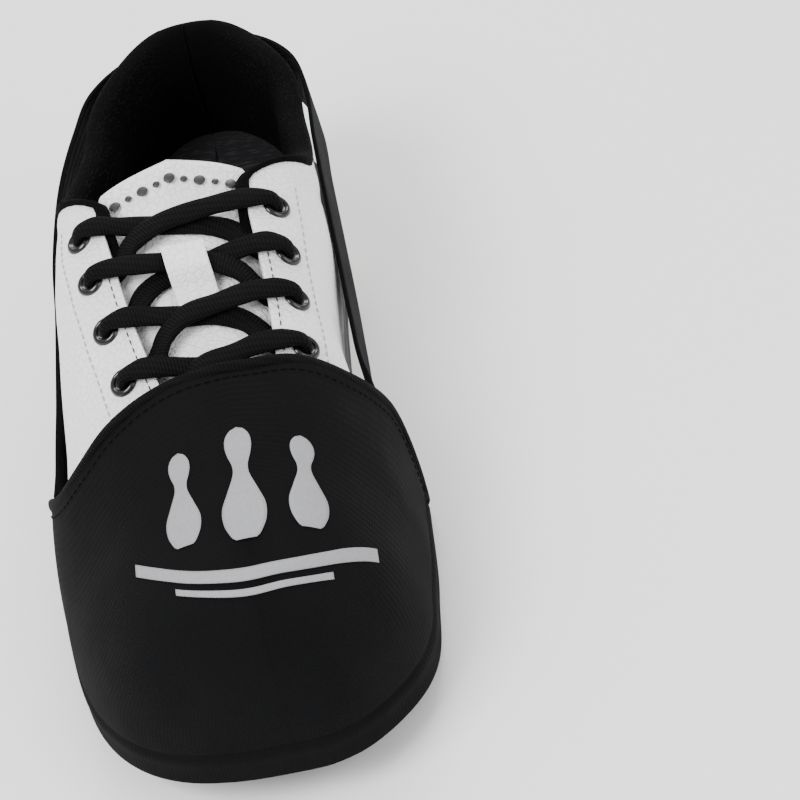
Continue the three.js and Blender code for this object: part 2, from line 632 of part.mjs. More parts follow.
// ---- heel strap: a flat elastic band from one corner of the cover, round the heel, to the other ----
const strapPath = [
  [29, -56.4, 31], [20, -55.6, 31.5], [8, -54.8, 33], [-10, -53.9, 37.5], [-30, -52.6, 45], [-50, -51.6, 53],
  [-80, -48, 60], [-105, -42, 64], [-125, -35.5, 66], [-140, -21.5, 67], [-147.6, 0.5, 67.5], [-140, 22.5, 67],
  [-125, 35, 66], [-105, 39.3, 64], [-80, 40, 60], [-50, 41.2, 53], [-30, 42, 46], [-10, 42.6, 38.5],
  [8, 43.4, 33.5], [20, 45, 32.5], [29, 47, 32.5],
].map((p) => new THREE.Vector3(...p));
const strapCurve = new THREE.CatmullRomCurve3(strapPath, false, "centripetal");
const strapLean = profile([0, 0.02], [0.2, 0.1], [0.5, 0.04], [0.8, 0.1], [1, 0.02]); // its top edge leans in
const strapGrid = (out) => span(0, 1, 44).map((u) => {
  const p = strapCurve.getPointAt(u);
  const along = strapCurve.getTangentAt(u);
  const aside = new THREE.Vector3(-along.y, along.x, 0).normalize();
  const lean = strapLean(u);
  const upward = new THREE.Vector3().crossVectors(along, aside).normalize();
  if (upward.z < 0) upward.negate();
  const rise = upward.clone().addScaledVector(aside, -lean).normalize();
  const outer = p.clone().addScaledVector(aside, out);
  return [-1, 0, 1].map((k) => outer.clone().addScaledVector(rise, (k * STRAP.width) / 2));
});
add("heel_strap", slab(strapGrid(STRAP.thick), strapGrid(0)), 0x1a1a1c);

// ---- put the origin at the middle of the footprint ----
const bounds = new THREE.Box3().setFromObject(group);
const middle = bounds.getCenter(new THREE.Vector3());
for (const mesh of group.children) mesh.geometry.translate(-middle.x, -middle.y, -bounds.min.z);

export default group;
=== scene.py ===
"""A laced bowling shoe wearing a pull-on slide cover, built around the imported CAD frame.

Design units are millimetres: x from heel (-150) to toe (150), y to the medial side, z up from the floor.
The same forms as the CAD part shape every panel, and each finished piece is written in metres.
"""
import logging
import math
from dataclasses import dataclass, field
from enum import Enum
from typing import Callable, Optional, Sequence

import bmesh
import bpy
import numpy as np
from mathutils import Matrix, Vector
from mathutils.bvhtree import BVHTree


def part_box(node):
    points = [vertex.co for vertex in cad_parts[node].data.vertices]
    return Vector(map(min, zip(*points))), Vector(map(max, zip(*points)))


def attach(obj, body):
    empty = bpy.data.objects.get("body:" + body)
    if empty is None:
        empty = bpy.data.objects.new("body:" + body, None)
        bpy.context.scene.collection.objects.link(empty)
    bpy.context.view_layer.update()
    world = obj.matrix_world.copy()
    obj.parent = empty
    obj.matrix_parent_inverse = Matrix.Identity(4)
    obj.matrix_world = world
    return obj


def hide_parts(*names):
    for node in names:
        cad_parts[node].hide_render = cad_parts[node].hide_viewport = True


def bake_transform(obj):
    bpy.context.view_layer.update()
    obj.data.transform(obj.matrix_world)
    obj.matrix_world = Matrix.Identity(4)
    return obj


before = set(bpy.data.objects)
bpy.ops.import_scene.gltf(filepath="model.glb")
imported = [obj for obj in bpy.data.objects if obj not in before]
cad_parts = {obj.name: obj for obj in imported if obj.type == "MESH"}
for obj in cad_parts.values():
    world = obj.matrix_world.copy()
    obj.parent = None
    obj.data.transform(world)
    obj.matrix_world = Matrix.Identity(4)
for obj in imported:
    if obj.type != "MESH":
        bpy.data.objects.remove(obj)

LOG = logging.getLogger("shoe")
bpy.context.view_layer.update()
MM = 0.001
HALF = 150.0  # half the sole's length
SOLE_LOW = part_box("midsole")[0]
LATERAL_REACH = 59.3  # from the design's middle line to the sole's lateral edge
ORIGIN = np.array([
    SOLE_LOW[0] + HALF * MM, SOLE_LOW[1] + LATERAL_REACH * MM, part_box("heel_pad")[0][2],
])
NUDGE = 0.004  # step along the loop for slopes
GAP = 0.3  # air between neighbouring pieces
LEATHER = 1.6

Array = np.ndarray
Curve = Callable[[Array], Array]


# ---------------------------------------------------------------- forms
class Profile:
    """A smooth curve through a few (x, value) knots, flat beyond its ends."""

    def __init__(self, *knots: tuple[float, float]) -> None:
        """Args: knots: (x, value) pairs in rising order of x."""
        self.x = np.array([k[0] for k in knots], float)
        self.y = np.array([k[1] for k in knots], float)
        last = len(knots) - 1
        before = np.maximum(np.arange(len(knots)) - 1, 0)
        after = np.minimum(np.arange(len(knots)) + 1, last)
        self.slope = (self.y[after] - self.y[before]) / (self.x[after] - self.x[before])

    def __call__(self, x: Array) -> Array:
        """Return the curve's value at each x."""
        x = np.clip(np.asarray(x, float), self.x[0], self.x[-1])
        i = np.clip(np.searchsorted(self.x, x, side="right") - 1, 0, len(self.x) - 2)
        step = self.x[i + 1] - self.x[i]
        u = (x - self.x[i]) / step
        rise = self.y[i + 1] - self.y[i]
        m0 = self.slope[i] * step
        m1 = self.slope[i + 1] * step
        return self.y[i] + m0 * u + (3 * rise - 2 * m0 - m1) * u**2 + (m0 + m1 - 2 * rise) * u**3


def smooth(low: float, high: float, x: Array) -> Array:
    """Return a smooth step from 0 at low to 1 at high."""
    t = np.clip((np.asarray(x, float) - low) / (high - low), 0, 1)
    return t * t * (3 - 2 * t)


def mix(a: Array, b: Array, t: Array) -> Array:
    """Return the point t of the way from a to b."""
    return a + (b - a) * t


def bump(x: Array, middle: float, width: float) -> Array:
    """Return a bell of height 1 at middle."""
    return np.exp(-(((x - middle) / width) ** 2))


def unit(v: Array) -> Array:
    """Return vectors scaled to length 1."""
    return v / np.maximum(np.linalg.norm(v, axis=-1, keepdims=True), 1e-9)


CENTRE_Y = Profile((-150, 0.5), (40, 0), (85, 1.6), (120, 6), (150, 10))
SPREAD_LATERAL = Profile(
    (-150, 50), (-115, 52.2), (-80, 46.5), (-45, 49.7), (0, 55), (40, 60.7), (85, 63.8), (120, 69.3),
    (150, 72),
)
SPREAD_MEDIAL = Profile(
    (-150, 50), (-115, 52.9), (-80, 44.2), (-45, 38.5), (0, 38), (40, 50.2), (85, 56.5), (120, 55.6),
    (150, 42),
)
FEATHER_Z = Profile(
    (-145, 34), (-100, 31), (-50, 24), (0, 18.5), (40, 17.5), (70, 18.5), (100, 22), (125, 27.5),
    (145, 34),
)
SLIDE_Z = Profile((-62, 4.8), (-40, 3.5), (-15, 2), (75, 2), (100, 4.5), (125, 10), (150, 17))
RIDGE_Y = Profile(
    (-105, 0.5), (-50, -4.2), (-19, -4.4), (0, -1.8), (20, 1.2), (40, 4.2), (74, 8.4), (105, 9),
)
CROWN_Z = Profile(
    (-105, 150), (-60, 118), (-42, 103), (-30, 97), (-20, 94), (0, 89.5), (20, 83.8), (40, 77.2),
    (60, 72.6), (77, 69.5), (90, 66.2), (99, 64.5), (105, 64),
)
POWER_LATERAL = Profile(
    (-145, 3.2), (-60, 4.6), (-20, 4.6), (0, 3.9), (20, 2.9), (40, 2.35), (90, 1.95), (145, 2.1),
)
POWER_MEDIAL = Profile(
    (-145, 3.2), (-60, 4.6), (-20, 4.6), (0, 4.2), (20, 3.6), (40, 3), (90, 2.2), (145, 2.1),
)
COVER_WIDEN = Profile((-150, 0), (-20, 20), (0, 14.5), (40, 4), (80, 0.3), (90, 0))
COVER_CROWN = Profile(
    (30, 86), (45, 83), (54, 81), (62, 79), (75, 75.5), (90, 71.8), (103, 69.8), (110, 69.5),
)
COVER_POWER = Profile((40, 2.35), (100, 2.15), (152, 2.8))
FAN = 0.724


def loop_x(a: Array) -> Array:
    """Return x at a position along the half loop (0 heel, 1 toe)."""
    return -HALF * np.cos(np.pi / 2 * (1 - np.cos(np.pi * a)))


def loop_at(x: Array) -> Array:
    """Return the position along the half loop of the base point at x."""
    angle = np.arccos(np.clip(-np.asarray(x, float) / HALF, -1, 1))
    return np.arccos(1 - 2 * angle / np.pi) / np.pi


def outline(c: Array, widen: Optional[Curve] = None) -> Array:
    """Return plan points of the sole's edge.

    Args:
        c: loop position, 0 heel, 1 toe by the lateral side, 2 heel again by the medial side.
        widen: extra medial width by x.
    """
    turn = np.mod(c, 2.0)
    lateral = turn <= 1
    x = loop_x(np.where(lateral, turn, 2 - turn))
    rounding = np.clip(1 - (x / HALF) ** 2, 0, None) ** (0.35 - 0.05 * x / HALF)
    medial = SPREAD_MEDIAL(x) + (0 if widen is None else widen(x))
    return np.stack([x, CENTRE_Y(x) + np.where(lateral, -SPREAD_LATERAL(x), medial) * rounding], -1)


def inset_loop(c: Array, inset: Array, widen: Optional[Curve] = None) -> Array:
    """Return the outline moved in along its own normal by inset."""
    p = outline(c, widen)
    along = unit(outline(c + NUDGE, widen) - outline(c - NUDGE, widen))
    return np.stack([p[..., 0] - along[..., 1] * inset, p[..., 1] + along[..., 0] * inset], -1)


@dataclass(frozen=True)
class Form:
    """A domed form over the outline: c goes round the base, t climbs from the base (0) to the ridge (1)."""

    inset: float
    base_z: Curve
    crown: Curve
    power_lateral: Curve
    power_medial: Curve
    swell_lateral: float = 0.0
    swell_medial: float = 0.0
    widen: Optional[Curve] = None

    def base(self, c: Array) -> Array:
        """Return the plan point of the base at c."""
        return inset_loop(np.asarray(c, float), self.inset, self.widen)

    def ridge(self, base: Array) -> Array:
        """Return the ridge point that a base point leans to."""
        x = FAN * base[..., 0]
        return np.stack([x, RIDGE_Y(x)], -1)

    def point(self, c: Array, t: Array) -> Array:
        """Return points of the surface; t beyond 1 comes down the other side."""
        c, t = np.broadcast_arrays(np.asarray(c, float), np.asarray(t, float))
        over = t > 1
        c = np.where(over, 2 - c, c)
        t = np.where(over, 2 - t, t)
        base = self.base(c)
        ridge = self.ridge(base)
        lateral = np.mod(c, 2.0) <= 1
        n = np.where(lateral, self.power_lateral(base[..., 0]), self.power_medial(base[..., 0]))
        angle = np.pi / 2 * np.clip(t, 0, 1)
        cos, sin = np.clip(np.cos(angle), 0, 1), np.sin(angle)
        r = (cos**n + sin**n) ** (-1 / n)
        across, up = 1 - r * cos, r * sin
        low = self.base_z(base[..., 0])
        x = base[..., 0]
        bulge = np.where(lateral, self.swell_lateral * bump(x, -50, 45), self.swell_medial * bump(x, -32, 48))
        bulge = bulge * (1 - (2 * np.minimum(up, 1) - 1) ** 4)
        plan = base + (ridge - base) * across[..., None] + unit(base - ridge) * bulge[..., None]
        return np.concatenate([plan, (low + up * (self.crown(ridge[..., 0]) - low))[..., None]], -1)

    def normal(self, c: Array, t: Array) -> Array:
        """Return outward normals of the surface."""
        c, t = np.broadcast_arrays(np.asarray(c, float), np.asarray(t, float))
        high = np.where(t > 1, np.maximum(t, 1.03), np.minimum(t, 0.97))
        dc = self.point(c + NUDGE, high) - self.point(c - NUDGE, high)
        dt = self.point(c, t + 0.01) - self.point(c, np.maximum(t - 0.01, 0))
        return unit(np.cross(dc, dt))

    def offset(self, c: Array, t: Array, n: Array) -> Array:
        """Return surface points moved out along the normal by n."""
        return self.point(c, t) + self.normal(c, t) * np.asarray(n, float)[..., None]

    def speed(self, c: Array, t: Array) -> Array:
        """Return millimetres of surface per unit of t."""
        step = self.point(c, np.minimum(t + 0.01, 1)) - self.point(c, t - 0.01)
        return np.linalg.norm(step, axis=-1) / 0.02

    def t_at_z(self, c: Array, z: Array) -> Array:
        """Return t where the surface over c reaches the height z."""
        return self._bisect(c, lambda p, ridge: p[..., 2] < z, 0.0)

    def t_at_half(self, c: Array, half: Array) -> Array:
        """Return t where the surface over c is half from the ridge line in plan."""
        return self._bisect(c, lambda p, ridge: np.linalg.norm(p[..., :2] - ridge, axis=-1) > half, 0.2)

    def _bisect(self, c: Array, below: Callable[[Array, Array], Array], start: float) -> Array:
        """Return the t where the test turns false, going up from start."""
        c = np.asarray(c, float)
        ridge = self.ridge(self.base(c))
        low = np.full(c.shape, start)
        high = np.ones(c.shape)
        for _ in range(20):
            t = (low + high) / 2
            under = below(self.point(c, t), ridge)
            low = np.where(under, t, low)
            high = np.where(under, high, t)
        return (low + high) / 2

    def locate(self, x: Array, half: Array) -> tuple[Array, Array]:
        """Return (c, t) of plan places given by x and the signed distance from the ridge line."""
        x, half = np.broadcast_arrays(np.asarray(x, float), np.asarray(half, float))
        base_x = x.copy()
        for _ in range(9):
            a = loop_at(base_x * HALF / (HALF - self.inset))
            c = np.where(half < 0, a, 2 - a)
            t = self.t_at_half(c, np.abs(half))
            base_x = base_x + x - self.point(c, t)[..., 0]
        return c, t

    def at(self, x: Array, half: Array, n: Array) -> Array:
        """Return points given by x, signed distance from the ridge line, and offset."""
        x, half, n = np.broadcast_arrays(*(np.asarray(v, float) for v in (x, half, n)))
        c, t = self.locate(x, np.where(np.abs(half) < 0.01, 0.01, half))
        return self.offset(c, t, n)


UPPER = Form(5.0, lambda x: FEATHER_Z(x) + GAP, CROWN_Z, POWER_LATERAL, POWER_MEDIAL, 5.5, 9.0)
COVER = Form(
    -1.4, lambda x: SLIDE_Z(x) - 1.1, COVER_CROWN, COVER_POWER, COVER_POWER,
    widen=lambda x: np.maximum(0, COVER_WIDEN(x)),
)
FACING_TOP = -33.0
TOPLINE = Profile((-145, 84), (-110, 79), (-85, 76), (-62, 76.5), (-50, 82), (-41, 92))
FACING_HALF = Profile((-33, 24.5), (-10, 23), (20, 21.5), (50, 18.5), (77, 14))
MOUTH_LATERAL = Profile(
    (0, 34), (0.12, 34.5), (0.22, 38), (0.32, 53), (0.41, 62), (0.52, 66), (0.65, 66), (0.85, 68),
    (1, 71.5),
)
MOUTH_MEDIAL = Profile(
    (0, 41), (0.15, 39.5), (0.3, 38), (0.42, 44), (0.52, 49.5), (0.7, 57), (0.87, 66.5), (1, 71.5),
)
ROWS = 6
ROW_X0 = -19.3
ROW_STEP = 18.8
ROW_HALF = (32.0, 27.2)  # half across between the eyelets of the first and last row
TONGUE_TOP = -5.8
COVER_WALL = 1.8


def base_at(x: Array, side: Array) -> Array:
    """Return the upper's loop position over base x on a side, -1 lateral or 1 medial."""
    a = loop_at(np.asarray(x, float) * HALF / (HALF - UPPER.inset))
    return np.where(np.asarray(side) < 0, a, 2 - a)


def quarter_top(c: Array) -> Array:
    """Return t of the quarter's upper edge: the collar's topline, then the facing."""
    c = np.asarray(c, float)
    x = UPPER.base(c)[..., 0]
    facing = UPPER.t_at_half(c, FACING_HALF(x * 0.86))
    corner = UPPER.t_at_half(c, np.broadcast_to(FACING_HALF(FACING_TOP), c.shape))
    rising = mix(UPPER.t_at_z(c, np.broadcast_to(TOPLINE(-50), c.shape)), corner,
                 np.clip((x + 50) / (FACING_TOP + 50), 0, 1) ** 1.3)
    return np.where(x <= -50, UPPER.t_at_z(c, TOPLINE(x)), np.where(x >= FACING_TOP, facing, rising))


def row_x(row: float) -> float:
    """Return x of an eyelet row."""
    return ROW_X0 + ROW_STEP * row


def row_half(row: Array) -> Array:
    """Return half the distance across between the eyelets of a row."""
    return ROW_HALF[0] + (ROW_HALF[1] - ROW_HALF[0]) * row / (ROWS - 1)


def mouth_x(w: Array) -> Array:
    """Return base x of the cover's mouth; w runs -1 (lateral base) to 1 (medial base)."""
    t = 1 - np.abs(w)
    return np.where(w < 0, MOUTH_LATERAL(t), MOUTH_MEDIAL(t))


def cover_place(x: Array, w: Array) -> tuple[Array, Array]:
    """Return the cover form's (c, t) at base x and w."""
    a = loop_at(x * HALF / (HALF - COVER.inset))
    return np.where(w < 0, a, 2 - a), 1 - np.abs(w)


# ---------------------------------------------------------------- finishes
class Grain(Enum):
    """The kind of surface detail that a finish has."""

    LEATHER = "leather"
    KNIT = "knit"
    LACE = "lace"
    RIB = "rib"
    MESH = "mesh"
    GLOSS = "gloss"
    FOAM = "foam"
    CARD = "card"
    STEEL = "steel"
    FELT = "felt"


class Nodes:
    """A thin hand on a material's node tree."""

    def __init__(self, name: str) -> None:
        """Args: name: the material's name."""
        self.material = bpy.data.materials.new(name)
        self.material.use_nodes = True
        self.tree = self.material.node_tree
        self.shader = self.tree.nodes["Principled BSDF"]
        coords = self.tree.nodes.new("ShaderNodeTexCoord")
        self.place = coords.outputs["Object"]
        self.cloth = coords.outputs["UV"]

    def add(self, kind: str, settings: Optional[dict] = None, **values: object) -> bpy.types.Node:
        """Add a node.

        Args:
            kind: the node's type without its ShaderNode prefix.
            settings: properties of the node itself.
            values: input sockets by name (underscores for spaces): a number, or a socket to link.
        """
        node = self.tree.nodes.new("ShaderNode" + kind)
        for key, value in (settings or {}).items():
            setattr(node, key, value)
        for key, value in values.items():
            self.feed(node.inputs[key.replace("_", " ")], value)
        return node

    def feed(self, socket: bpy.types.NodeSocket, value: object) -> None:
        """Link value into socket, or set it."""
        if isinstance(value, bpy.types.NodeSocket):
            self.tree.links.new(value, socket)
        else:
            socket.default_value = value

    def maths(self, kind: str, a: object, b: object = 0.0, clamp: bool = False) -> bpy.types.NodeSocket:
        """Return the output of a Math node."""
        node = self.add("Math", {"operation": kind, "use_clamp": clamp})
        self.feed(node.inputs[0], a)
        self.feed(node.inputs[1], b)
        return node.outputs[0]

    def noise(self, coords: object, scale: float, detail: float = 3.0) -> bpy.types.NodeSocket:
        """Return the value of a Noise texture."""
        return self.add("TexNoise", Vector=coords, Scale=scale, Detail=detail).outputs[0]

    def cells(self, coords: object, scale: float, feature: str = "F1") -> bpy.types.NodeSocket:
        """Return the distance of a Voronoi texture."""
        return self.add("TexVoronoi", {"feature": feature}, Vector=coords, Scale=scale).outputs["Distance"]

    def wave(self, coords: object, period: float, angle: float, wobble: float = 0.0) -> bpy.types.NodeSocket:
        """Return a sine wave of the given period in metres, its bands turned by angle degrees."""
        turned = self.add("Mapping", Vector=coords)
        turned.inputs["Rotation"].default_value = (0, 0, math.radians(angle))
        bands = self.add("TexWave", {"wave_type": "BANDS", "bands_direction": "X"}, Vector=turned.outputs[0],
                         Scale=0.31416 / period, Distortion=wobble)
        return bands.outputs["Fac"]

    def ramp(
        self, value: object, low: float, high: float, out_low: float, out_high: float,
    ) -> bpy.types.NodeSocket:
        """Return value mapped from one range to another, held at its ends."""
        node = self.add("MapRange", Value=value, From_Min=low, From_Max=high, To_Min=out_low, To_Max=out_high)
        return node.outputs[0]

    def blend(self, factor: object, a: Sequence[float], b: Sequence[float]) -> bpy.types.NodeSocket:
        """Return a colour between a and b."""
        node = self.add("Mix", {"data_type": "RGBA"})
        self.feed(node.inputs[0], factor)
        self.feed(node.inputs[6], (*a, 1))
        self.feed(node.inputs[7], (*b, 1))
        return node.outputs[2]

    def relief(self, height: object, depth: float, strength: float = 1.0) -> None:
        """Give the shader a bump of the given depth in metres."""
        node = self.add("Bump", Height=height, Distance=depth, Strength=strength)
        self.tree.links.new(node.outputs[0], self.shader.inputs["Normal"])


@dataclass(frozen=True)
class Finish:
    """One surface finish, made once and shared by its pieces."""

    name: str
    slot: str
    grain: Grain
    colour: tuple[float, float, float]
    shade: tuple[float, float, float]
    rough: tuple[float, float]
    sheen: float = 0.0
    coat: float = 0.0
    metal: float = 0.0
    specular: float = 0.5
    size: float = 1.0

    def material(self) -> bpy.types.Material:
        """Return the finish's material, making it the first time."""
        known = bpy.data.materials.get(self.name)
        if known is not None:
            return known
        n = Nodes(self.name)
        inputs = n.shader.inputs
        inputs["Sheen Weight"].default_value = self.sheen
        inputs["Sheen Roughness"].default_value = 0.4
        inputs["Coat Weight"].default_value = self.coat
        inputs["Metallic"].default_value = self.metal
        inputs["Specular IOR Level"].default_value = self.specular
        height, depth, tone = self._detail(n)
        n.feed(inputs["Base Color"], n.blend(tone, self.shade, self.colour))
        wear = n.noise(n.place, 45, 4)
        n.feed(inputs["Roughness"], n.ramp(wear, 0.3, 0.7, self.rough[0], self.rough[1]))
        n.relief(height, depth)
        return n.material

    def _detail(self, n: Nodes) -> tuple[object, float, object]:
        """Return the relief's height, its depth in metres, and the colour's tone from 0 (shade) to 1."""
        soft = n.noise(n.place, 30, 3)
        if self.grain is Grain.LEATHER:
            pebble = n.cells(n.place, 1050, "SMOOTH_F1")
            crease = n.cells(n.place, 420, "DISTANCE_TO_EDGE")
            crease = n.ramp(crease, 0.0, 0.12, 0.0, 1.0)
            grain = n.maths("ADD", n.maths("MULTIPLY", pebble, -0.5), n.maths("MULTIPLY", crease, 0.35))
            height = n.maths("ADD", grain, n.maths("MULTIPLY", n.noise(n.place, 70, 4), 2.2))
            tone = n.maths("MULTIPLY", n.ramp(soft, 0.2, 0.6, 0.7, 1.0), n.ramp(crease, 0, 1, 0.82, 1.0))
            return height, 0.0005 * self.size, tone
        if self.grain is Grain.KNIT:
            rows = n.wave(n.cloth, 0.0011, 0, 0.4)
            wales = n.wave(n.cloth, 0.0008, 90, 0.4)
            weave = n.maths("MULTIPLY", rows, wales)
            height = n.maths("ADD", weave, n.maths("MULTIPLY", n.noise(n.place, 38, 3), 3.0))
            fuzz = n.noise(n.place, 900, 2)
            tone = n.maths("MULTIPLY", n.ramp(weave, 0, 1, 0.7, 1.0), n.ramp(fuzz, 0.3, 0.7, 0.7, 1.0))
            return height, 0.00016 * self.size, tone
        if self.grain is Grain.LACE:
            left = n.wave(n.cloth, 0.00105, 14, 0.5)
            right = n.wave(n.cloth, 0.0016, 82, 0.2)
            braid = n.maths("ADD", n.maths("MULTIPLY", left, 0.65), n.maths("MULTIPLY", right, 0.35))
            return braid, 0.00034 * self.size, n.ramp(braid, 0.2, 0.9, 0.0, 1.0)
        if self.grain is Grain.RIB:
            rib = n.wave(n.cloth, 0.0016 * self.size, 90, 0.0)
            pick = n.wave(n.cloth, 0.0009, 0, 0.2)
            height = n.maths("ADD", rib, n.maths("MULTIPLY", pick, 0.4))
            return height, 0.0003, n.ramp(rib, 0, 1, 0.2, 1.0)
        if self.grain is Grain.MESH:
            holes = n.ramp(n.cells(n.cloth, 620), 0.15, 0.5, 0.0, 1.0)
            fuzz = n.noise(n.place, 1500, 2)
            height = n.maths("ADD", n.maths("MULTIPLY", holes, -1.0), n.maths("MULTIPLY", fuzz, 0.5))
            return height, 0.0004 * self.size, n.ramp(holes, 0, 1, 1.0, 0.1)
        if self.grain is Grain.CARD:
            fibre = n.noise(n.place, 650, 5)
            return fibre, 0.0003, n.ramp(fibre, 0.3, 0.7, 0.2, 1.0)
        if self.grain is Grain.STEEL:
            brushed = n.add("Mapping", Vector=n.place)
            brushed.inputs["Scale"].default_value = (30, 900, 900)
            line = n.noise(brushed.outputs[0], 1.0, 3)
            return line, 0.00005, n.ramp(line, 0.3, 0.7, 0.4, 1.0)
        if self.grain is Grain.FELT:
            nap = n.noise(n.place, 1100, 4)
            scuff = n.noise(n.place, 24, 5)
            return nap, 0.0003, n.ramp(scuff, 0.3, 0.62, 0.25, 1.0)
        if self.grain is Grain.GLOSS:
            flow = n.noise(n.place, 220, 2)
            return flow, 0.00008, n.ramp(flow, 0.3, 0.7, 0.0, 1.0)
        pores = n.noise(n.place, 1300, 4)
        scuff = n.noise(n.place, 60, 5)
        return pores, 0.00016 * self.size, n.ramp(scuff, 0.35, 0.7, 0.0, 1.0)


WHITE = Finish(
    "white_leather_grain", "white_leather", Grain.LEATHER, (0.86, 0.86, 0.85), (0.70, 0.70, 0.69),
    (0.34, 0.5),
)
THREAD = Finish(
    "thread_white", "white_leather", Grain.LACE, (0.66, 0.66, 0.65), (0.4, 0.4, 0.4), (0.6, 0.75),
    size=0.3,
)
THREAD_DARK = Finish(
    "thread_grey", "lace_black", Grain.LACE, (0.10, 0.10, 0.105), (0.04, 0.04, 0.04), (0.6, 0.75),
    size=0.3,
)
LINING = Finish(
    "collar_mesh", "black_mesh", Grain.MESH, (0.005, 0.005, 0.0055), (0.001, 0.001, 0.001), (0.8, 0.95),
    specular=0.05,
)
SUEDE_LINING = Finish(
    "black_lining_cloth", "black_lining", Grain.FELT, (0.03, 0.03, 0.032), (0.012, 0.012, 0.012),
    (0.8, 0.95), specular=0.2,
)
LACE_BRAID = Finish(
    "lace_braid", "lace_black", Grain.LACE, (0.004, 0.004, 0.0044), (0.0008, 0.0008, 0.0008),
    (0.7, 0.85), specular=0.08,
)
KNIT_BLACK = Finish(
    "cover_knit_cloth", "cover_knit", Grain.KNIT, (0.0042, 0.0042, 0.0046), (0.0025, 0.0025, 0.0028),
    (0.78, 0.9), specular=0.06,
)
BRAID = Finish(
    "binding_braid", "elastic_black", Grain.LACE, (0.0035, 0.0035, 0.004), (0.001, 0.001, 0.001),
    (0.7, 0.85), specular=0.08, size=1.4,
)
ELASTIC = Finish(
    "strap_elastic", "elastic_black", Grain.RIB, (0.004, 0.004, 0.0045), (0.001, 0.001, 0.001),
    (0.7, 0.85), specular=0.08,
)
PANEL = Finish(
    "cover_base_cloth", "cover_base", Grain.KNIT, (0.022, 0.022, 0.024), (0.008, 0.008, 0.009),
    (0.4, 0.55), specular=0.3,
)
EYELET = Finish(
    "eyelet_gloss", "eyelet_black", Grain.GLOSS, (0.006, 0.006, 0.0065), (0.003, 0.003, 0.003),
    (0.12, 0.2), coat=0.2, specular=0.4,
)
AGLET = Finish(
    "aglet_gloss", "aglet_black", Grain.GLOSS, (0.03, 0.03, 0.032), (0.015, 0.015, 0.016), (0.15, 0.3),
)
FOAM = Finish(
    "sole_foam", "black_foam", Grain.FOAM, (0.008, 0.008, 0.0085), (0.004, 0.004, 0.0043), (0.5, 0.65),
    specular=0.22,
)
RUBBER = Finish(
    "heel_rubber", "cream_rubber", Grain.FOAM, (0.72, 0.68, 0.56), (0.55, 0.5, 0.40), (0.55, 0.75),
)
SLIDE = Finish(
    "slide_felt", "cream_slide", Grain.FELT, (0.74, 0.69, 0.56), (0.52, 0.46, 0.35), (0.75, 0.9),
    sheen=0.3,
)
BED = Finish(
    "footbed_cloth_black", "footbed_cloth", Grain.MESH, (0.022, 0.022, 0.024), (0.006, 0.006, 0.007),
    (0.8, 0.95), specular=0.2,
)
BOARD = Finish(
    "board_fibre", "insole_board", Grain.CARD, (0.70, 0.62, 0.46), (0.5, 0.42, 0.3), (0.8, 0.95),
)
STIFFENER = Finish(
    "stiffener_fibre", "stiffener", Grain.CARD, (0.66, 0.58, 0.43), (0.46, 0.4, 0.3), (0.8, 0.95),
)
CORK = Finish(
    "filler_cork", "cork_filler", Grain.CARD, (0.50, 0.33, 0.19), (0.28, 0.17, 0.09), (0.85, 0.95),
)
STEEL = Finish(
    "shank_steel", "spring_steel", Grain.STEEL, (0.55, 0.55, 0.57), (0.35, 0.35, 0.37), (0.25, 0.4),
    metal=1.0,
)
PRINT = Finish(
    "print_grey", "cover_knit", Grain.KNIT, (0.30, 0.30, 0.31), (0.20, 0.20, 0.21), (0.45, 0.6),
    size=0.5,
)
STUD = Finish(
    "tongue_stud", "lace_black", Grain.GLOSS, (0.02, 0.02, 0.021), (0.012, 0.012, 0.012), (0.35, 0.5),
)


# ---------------------------------------------------------------- mesh tools
def to_frame(points: Array) -> Array:
    """Return design points in millimetres as frame points in metres."""
    return np.asarray(points, float) * MM + ORIGIN


def spot(x: float, y: float, z: float) -> tuple[float, float, float]:
    """Return one design point in the frame."""
    return tuple(to_frame(np.array([x, y, z])))


@dataclass(frozen=True)
class Bend:
    """Cloth that crosses a joint between a rear and a front body, given with the joint's start and end; such
    a piece is baked in place and follows neither body.
    """

    rear: str
    front: str
    start: tuple[float, float, float]
    end: tuple[float, float, float]


def finish_piece(
    bm: bmesh.types.BMesh, name: str, finish: Finish, body: "str | Bend", stands_for: Sequence[str] = (),
) -> bpy.types.Object:
    """Turn a bmesh into a finished piece that rides on a body, or is baked in place when it crosses a bend.

    Args:
        bm: the shape, in metres, in place.
        name: the piece's name.
        finish: its finish.
        body: the CAD body that it moves with, or a bend between two, which leaves the piece baked in place
            and unattached.
        stands_for: CAD nodes that it replaces.

    Returns:
        The new object.
    """
    mesh = bpy.data.meshes.new(name)
    bm.to_mesh(mesh)
    bm.free()
    mesh.shade_smooth()
    piece = bpy.data.objects.new(name, mesh)
    bpy.context.scene.collection.objects.link(piece)
    piece.data.materials.append(finish.material())
    if isinstance(body, Bend):
        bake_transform(piece)
    else:
        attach(piece, body)
    if stands_for:
        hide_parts(*stands_for)
    LOG.info("%s: %d faces, finish %s, on %s", name, len(mesh.polygons), finish.name, body)
    return piece


